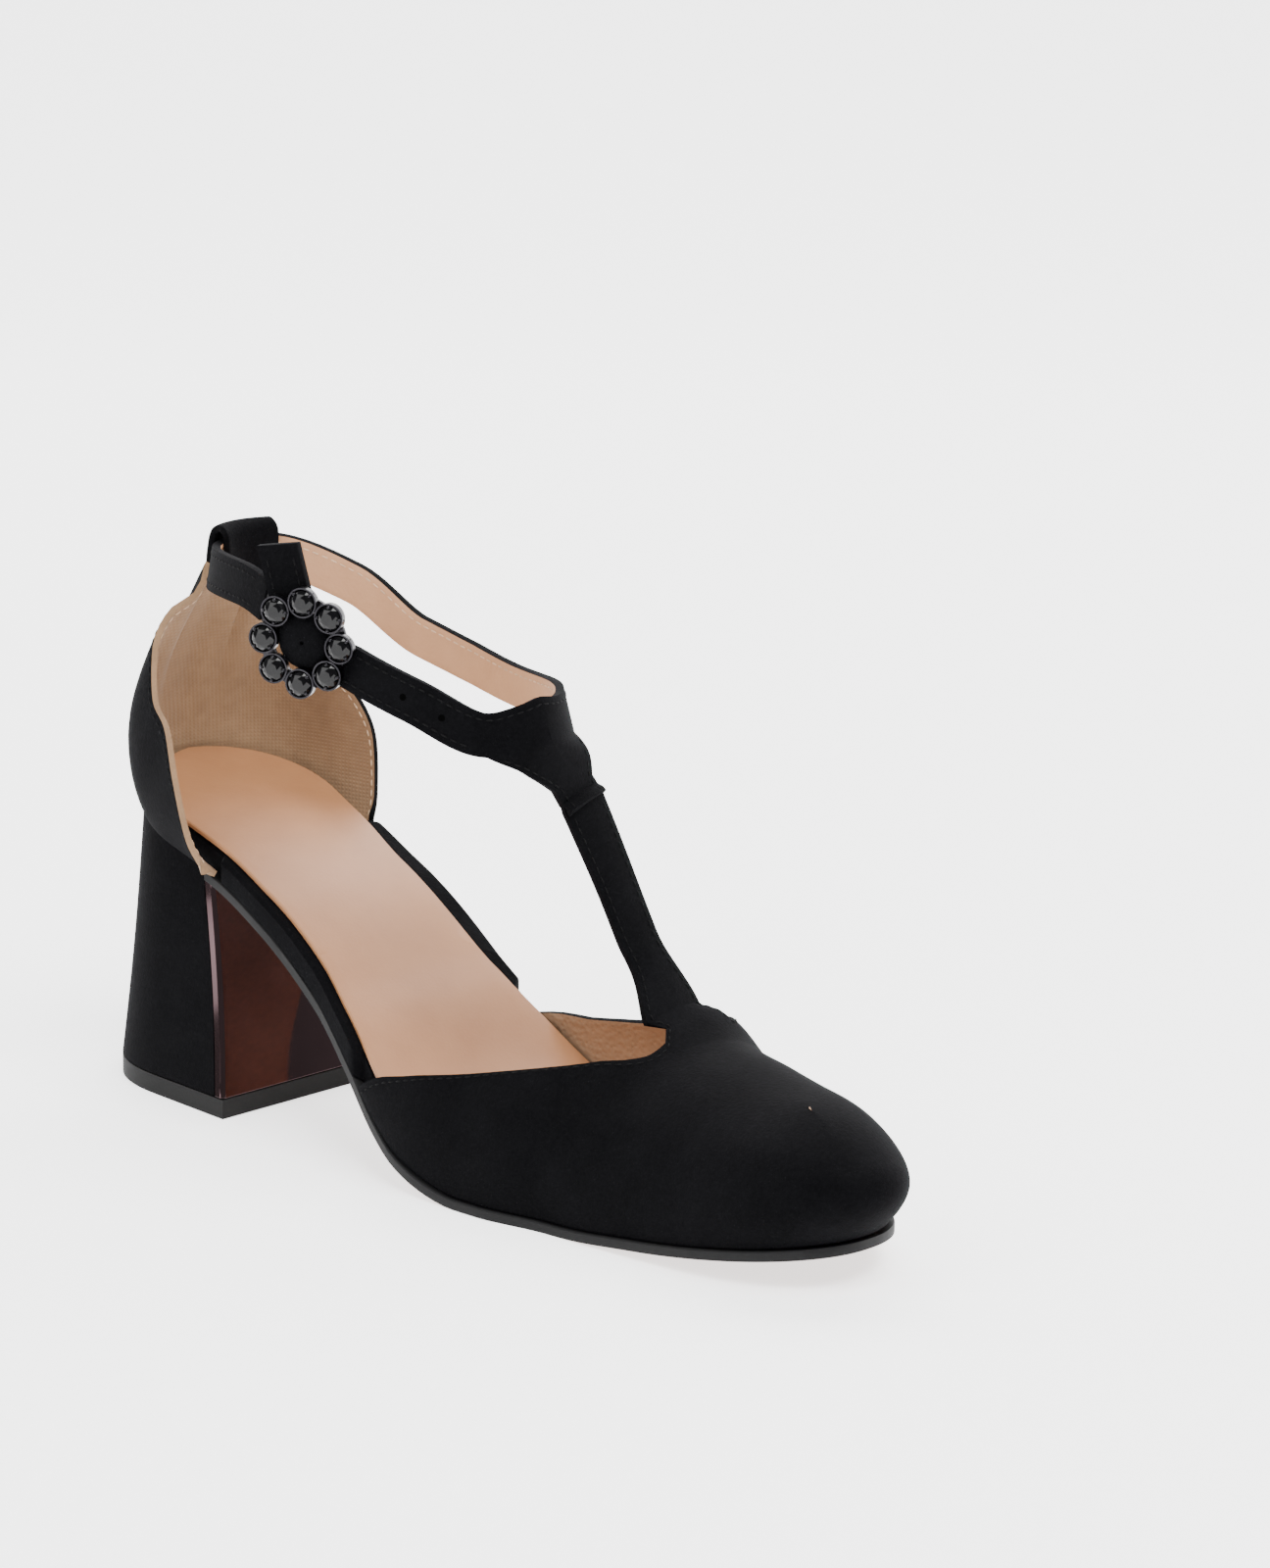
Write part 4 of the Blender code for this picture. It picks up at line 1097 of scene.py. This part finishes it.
def make_outsole(resin, underside):
    """Thin sole; its edge and upper side black, its tread tan."""
    rings = []
    for s in stations(110, (BREAST_TOP + GAP) / LENGTH, 1.0):
        ledge = OUTSOLE_LEDGE * ease((s / LENGTH - 0.42) / 0.12)
        ring = np.array(layer_ring(s, 0, OUTSOLE_THICKNESS, (-ledge, -ledge), 0.3 * MM, columns=8))
        ring[:, 1] = s + ledge * ease((s / LENGTH - 0.9) / 0.1)
        rings.append(ring)
    piece = lofted("outsole", "outsole_unit", rings, [resin, underside], 0.35 * MM)
    for face in piece.data.polygons:
        face.material_index = int(face.normal.z < -0.5)


def make_insole(suede):
    """Wrapped board whose suede rim shows at the waist."""
    marks = list(stations(90, BOARD_MARGIN / LENGTH, 1 - TOE_MARGIN / LENGTH))
    corners = [throat[0].along * LENGTH - 3 * MM for throat in (OUTER_THROAT, INNER_THROAT)]
    for mark in [QUARTER_END * LENGTH] + corners:
        marks.extend(mark + np.linspace(0.2, 3.0, 7) * MM)
    low = OUTSOLE_THICKNESS + GAP
    rings = [layer_ring(s, low, low + INSOLE_THICKNESS, [insole_inset(s, side) for side in (-1, 1)],
                        0.9 * MM, BOARD_MARGIN, TOE_MARGIN, 8) for s in sorted(marks)]
    lofted("insole", "insole_wrapped", rings, [suede], 0.5 * MM, 3)


def make_sock(leather):
    """Sock lining, its edge rounded down to the insole."""
    low = OUTSOLE_THICKNESS + INSOLE_THICKNESS + 2 * GAP
    toe = TOE_MARGIN + 2 * SOCK_THICKNESS
    rings = [layer_ring(s, low, low + SOCK_THICKNESS, sock_inset(s), 0.3 * MM, SOCK_MARGIN, toe, 14)
             for s in stations(100, SOCK_MARGIN / LENGTH, 1 - toe / LENGTH)]
    lofted("sock_lining", "sock_leather", rings, [leather], 0.3 * MM)


def make_heel(suede):
    """Block wrapped in suede, with the plate's recess at its breast."""
    recess = PLATE_RETURN + GAP
    under = PLATE_THICKNESS + GAP
    rings = [heel_ring(t, lambda level: heel_depth(level) + (recess - heel_depth(level)) * t)
             for t in falling(48)]
    rings.append(heel_ring(1, lambda level: recess - 0.05 * MM, under))
    rings.append(heel_ring(1, lambda level: under, under))
    lofted("heel_block", "heel_wrap", rings, [suede], 0.5 * MM, 3)


def make_plate(mirror):
    """Polished plate on the breast, its edges broken so that they catch the light."""
    wall = PLATE_THICKNESS
    low = LIFT_THICKNESS + GAP
    top = tread(BREAST_TOP) - GAP
    rings = []
    for level in np.linspace(0, 1, 15):
        half, front = heel_section(level, 0)
        side, rear = heel_section(level, PLATE_RETURN)
        outer = [(-side, rear), (-half, front - PLATE_BEVEL), (-half + PLATE_BEVEL, front)]
        outer += [(-x, y) for x, y in outer[::-1]]
        inner = [(side - wall, rear), (half - wall, front - wall)]
        inner += [(-x, y) for x, y in inner[::-1]]
        rings.append([(u, s, low + (top - low) * level) for u, s in outer + inner])
    lofted("heel_plate", "plate_polished", rings, [mirror], 0.12 * MM, 2, 15, 20)


def make_lift(rubber):
    """Top lift with its edge ground round."""
    rings = []
    for share in falling(60):
        half, s = heel_section(0, HEEL_DEPTH * (1 - share))
        half = max(half, 0.3 * MM)
        corners = (-half, 0), (half, 0), (half, LIFT_THICKNESS), (-half, LIFT_THICKNESS)
        rings.append([(u, s, z) for u, z in corners])
    lofted("top_lift", "lift_rubber", rings, [rubber], 0.35 * MM, 3, 60)


def make_elastic(webbing):
    """Elastic webbing, ribbed across."""
    half = STRAP_WIDTH / 2
    centre, aside, outward, heading = buckle_frame()
    clear = BAR_RADIUS + GAP
    end = centre - outward * (STRAP_THICKNESS + clear - ELASTIC_THICKNESS / 2) + heading * clear
    start, width, rear_out = ring_frame(REAR_STRAP_END - math.degrees(GAP / (ANKLE_LENGTH / 2)) * 1.2)
    start = start - rear_out * (STRAP_THICKNESS - ELASTIC_THICKNESS) / 2
    rings = []
    for k in range(RIB_COUNT + 1):
        share = k / RIB_COUNT
        middle = start + (end - start) * share
        across = (width + (aside - width) * share) * half
        normal = rear_out + (outward - rear_out) * share
        sunk = normal * (RIB_DEPTH if k % 4 > 1 else 0)
        front, back = middle - sunk, middle - normal * ELASTIC_THICKNESS + sunk
        rings.append([front - across, front + across, back + across, back - across])
    lofted("buckle_elastic", "elastic_ribbed", rings, [webbing], 0.08 * MM)


def add_claws(shape, centre, axis, spoke):
    """Claws round a stone's cup, bent over the stone."""
    aside = np.cross(axis, spoke)
    profile = [(CLAW_RADIUS * share, height * MM) for share, height in CLAW]
    for k in range(CLAW_COUNT):
        angle = math.pi / CLAW_COUNT + k * 2 * math.pi / CLAW_COUNT
        away = spoke * math.cos(angle) + aside * math.sin(angle)
        across = aside * math.cos(angle) - spoke * math.sin(angle)
        foot = centre + away * (STONE_RADIUS + GAP + CUP_WALL * 0.4) + axis * (CUP_DEPTH - CLAW_FOOT)
        lean = unit(axis * 2 - away)
        turned(shape, profile, foot, lean, np.cross(lean, across), 12)


def add_bar(shape):
    """Bar behind the ring, and the posts and arms that hold it."""
    middle, width, outward, run = buckle_frame()
    back = middle + outward * GAP
    depth = STRAP_THICKNESS + 2 * GAP + BAR_RADIUS
    reach = STRAP_WIDTH / 2 + GAP + BAR_RADIUS
    arm = BAR_RADIUS * 0.8
    for side in (-1, 1):
        post = back + width * side * reach
        turned(shape, [(BAR_RADIUS, 0), (BAR_RADIUS, depth + POST_TOP)], post - outward * depth, outward,
               run, 20)
        turned(shape, [(arm, -BAR_END), (arm, ARM_LENGTH)], post + outward * CUP_FLOOR / 2, width * side,
               run, 20)
    ends = reach + BAR_END
    turned(shape, [(BAR_RADIUS, -ends), (BAR_RADIUS, ends)], back - outward * depth, width, run, 20)


def make_buckle(gunmetal):
    """Ring of cups, the bar behind them, and the claws of each stone."""
    middle, width, outward, run = buckle_frame()
    outer = FLOWER_RADIUS + RING_OUTSIDE
    inner = FLOWER_RADIUS - RING_INSIDE
    profile = [(inner, 0), (outer, 0), (outer, CUP_FLOOR), (inner, CUP_FLOOR)]
    shape = bmesh.new()
    turned(shape, profile, middle + outward * GAP, outward, width, 96, hollow=True)
    rim = STONE_RADIUS + GAP
    wall = rim + CUP_WALL
    profile = [
        (wall * 0.86, 0.05 * MM),
        (wall, 0.8 * MM),
        (wall, CUP_DEPTH),
        (rim, CUP_DEPTH),
        (rim, 2 * CUP_FLOOR),
        (rim * 0.5, CUP_FLOOR),
    ]
    for index in range(STONE_COUNT):
        centre, axis, spoke = stone_place(index)
        turned(shape, profile, centre, axis, spoke, 40)
        add_claws(shape, centre, axis, spoke)
    add_bar(shape)
    stand_for(closed_piece("buckle_cast", shape, [gunmetal], 40), "buckle_frame")


def make_dome(suede):
    """Padded suede button in the middle of the ring, with the tongue's small hole."""
    middle, width, outward, run = buckle_frame()
    radius = FLOWER_RADIUS - STONE_RADIUS - 0.1 * MM
    profile = [(radius * math.cos(a), 0.2 * MM + DOME_HEIGHT * math.sin(a))
               for a in np.linspace(-0.1, 1.40, 14)]
    profile += [(HOLE_RADIUS * 0.7, DOME_HEIGHT), (HOLE_RADIUS * 0.55, DOME_HEIGHT - 0.7 * MM)]
    shape = bmesh.new()
    turned(shape, profile, middle, outward, width, 40)
    trim(closed_piece("buckle_dome", shape, [suede]))


def make_stones(glass):
    """Cut stones: a table, and two rows of facets turned against each other."""
    for index in range(STONE_COUNT):
        centre, axis, spoke = stone_place(index)
        shape = bmesh.new()
        for radius, height, shift, count in FACETS:
            level = centre + axis * STONE_SEAT + axis * height * MM
            angles = [2 * math.pi * (k + shift) / count for k in range(count)]
            verts(shape, circle(level, spoke, np.cross(axis, spoke), radius * STONE_RADIUS, angles))
        bmesh.ops.convex_hull(shape, input=shape.verts)
        bmesh.ops.dissolve_limit(shape, angle_limit=0.02, verts=shape.verts, edges=shape.edges)
        piece = closed_piece("stone_cut_%d" % (index + 1), shape, [glass], 3)
        for face in piece.data.polygons:
            face.use_smooth = False
        stand_for(piece, "stone_%d" % (index + 1))


def direction(azimuth, elevation):
    """Unit direction by angles in degrees round the shoe and up."""
    a, e = math.radians(azimuth), math.radians(elevation)
    return Vector((math.sin(a) * math.cos(e), -math.cos(a) * math.cos(e), math.sin(e)))


def make_backdrop():
    """Pale floor that sweeps up behind the shoe."""
    paper, tree, shader, place_at = blank("pale_paper")
    base_colour(tree, shader, noise(tree, place_at, 4 * MM, 2.0), "#EDEDED", "#F2F2F2")
    set_shader(shader, Roughness=0.9, Specular_IOR_Level=0.1, Emission_Color=linear("#FFFFFF"),
               Emission_Strength=PAPER_GLOW)
    angle = math.radians(CAMERA["az"])
    away = np.array([-math.sin(angle), math.cos(angle), 0])
    aside = np.array([math.cos(angle), math.sin(angle), 0])
    sweep = [(PAPER_FAR + PAPER_ROUND * math.sin(t), PAPER_ROUND * (1 - math.cos(t)))
             for t in np.linspace(0.1, math.pi / 2, 14)]
    profile = [(PAPER_NEAR, 0), (PAPER_FAR, 0)] + sweep + [(PAPER_FAR + PAPER_ROUND, PAPER_HEIGHT)]
    shape = bmesh.new()
    rows = [[shape.verts.new(away * far + aside * x + UP * up) for x in (-PAPER_HALF, PAPER_HALF)]
            for far, up in profile]
    for low, high in zip(rows, rows[1:]):
        shape.faces.new((low[0], low[1], high[1], high[0]))
    new_piece("sweep", shape, [paper], 80)


def make_lights():
    """Soft lights round the shoe and an even sky."""
    for name, turn, up, far, size, power in LIGHTS:
        lamp = bpy.data.lights.new(name, "AREA")
        lamp.shape = "RECTANGLE"
        lamp.size, lamp.size_y = size
        lamp.energy = power
        holder = linked(name, lamp)
        towards = direction(CAMERA["az"] + turn, up)
        holder.location = Vector(LIGHT_AIM) + towards * far
        holder.rotation_euler = towards.to_track_quat("Z", "Y").to_euler()
    world = bpy.data.worlds.new("studio")
    world.use_nodes = True
    sky = world.node_tree.nodes["Background"]
    sky.inputs["Color"].default_value = linear("#FFFFFF")
    sky.inputs["Strength"].default_value = WORLD_STRENGTH
    bpy.context.scene.world = world


def make_camera():
    """The photo's view of the shoe."""
    back = direction(CAMERA["az"], CAMERA["el"])
    angle = math.radians(CAMERA["az"])
    roll = math.radians(CAMERA["roll"])
    right = Vector((math.cos(angle), math.sin(angle), 0))
    up = back.cross(right)
    across = right * math.cos(roll) + up * math.sin(roll)
    top = up * math.cos(roll) - right * math.sin(roll)
    lens = bpy.data.cameras.new("photo_camera")
    lens.sensor_fit = "AUTO"
    lens.sensor_width = 36
    lens.lens = CAMERA["lens"]
    lens.clip_start = 0.05
    lens.clip_end = 50
    camera = linked("photo_camera", lens)
    place_at = Vector(CAMERA["target"]) * MM + back * CAMERA["distance"] * MM
    turn = Matrix((across, top, back)).transposed().to_4x4()
    camera.matrix_world = Matrix.Translation(place_at) @ turn
    bpy.context.scene.camera = camera


def main():
    """Make the finishes, the pieces and the stage."""
    suede = goat_suede()
    pig = grained_leather("beige_pig_leather", "#A38468", "#AD8D70", 0.62, 1.1 * MM, 0.30 * MM)
    calf = grained_leather("strap_calf_lining", "#AC7F5C", "#B48763", 0.55, 0.8 * MM, 0.08 * MM)
    sock = grained_leather("sock_calf_leather", "#9A6B48", "#A0714D", 0.48, 0.7 * MM, 0.03 * MM)
    backing = woven_lining()
    thread = plain("black_thread", "#0A0A0B", 0.8, Specular_IOR_Level=0.1)
    pale_thread = plain("beige_thread", "#B89B7E", 0.7)
    resin = plain("black_resin_edge", "#0B0B0C", 0.6, grain=1.5 * MM, depth=0.03 * MM,
                  Specular_IOR_Level=0.2)
    tan = plain("tan_outsole", "#70492F", 0.55, grain=1.2 * MM, depth=0.05 * MM)
    rubber = plain("black_lift_rubber", "#0C0C0C", 0.7, grain=0.8 * MM, depth=0.05 * MM,
                   Specular_IOR_Level=0.2)
    gunmetal = plain("gunmetal_plating", "#2E2D30", 0.28, 1.0, 4 * MM)
    mirror = plain("bronze_mirror_plating", "#5C4A4D", 0.05, 1.0, 30 * MM)
    glass = plain("jet_glass", "#060607", 0.03, IOR=1.5, Specular_IOR_Level=0.25)
    webbing = plain("elastic_webbing", "#111112", 0.85, grain=0.5 * MM, depth=0.1 * MM)
    make_outsole(resin, tan)
    make_insole(suede)
    make_sock(sock)
    make_vamp(suede, pig, thread)
    make_quarter(suede, backing, thread, pale_thread)
    make_strap(suede, calf, thread, pale_thread)
    make_elastic(webbing)
    make_heel(suede)
    make_plate(mirror)
    make_lift(rubber)
    make_buckle(gunmetal)
    make_dome(suede)
    make_stones(glass)
    make_backdrop()
    make_lights()
    make_camera()


main()
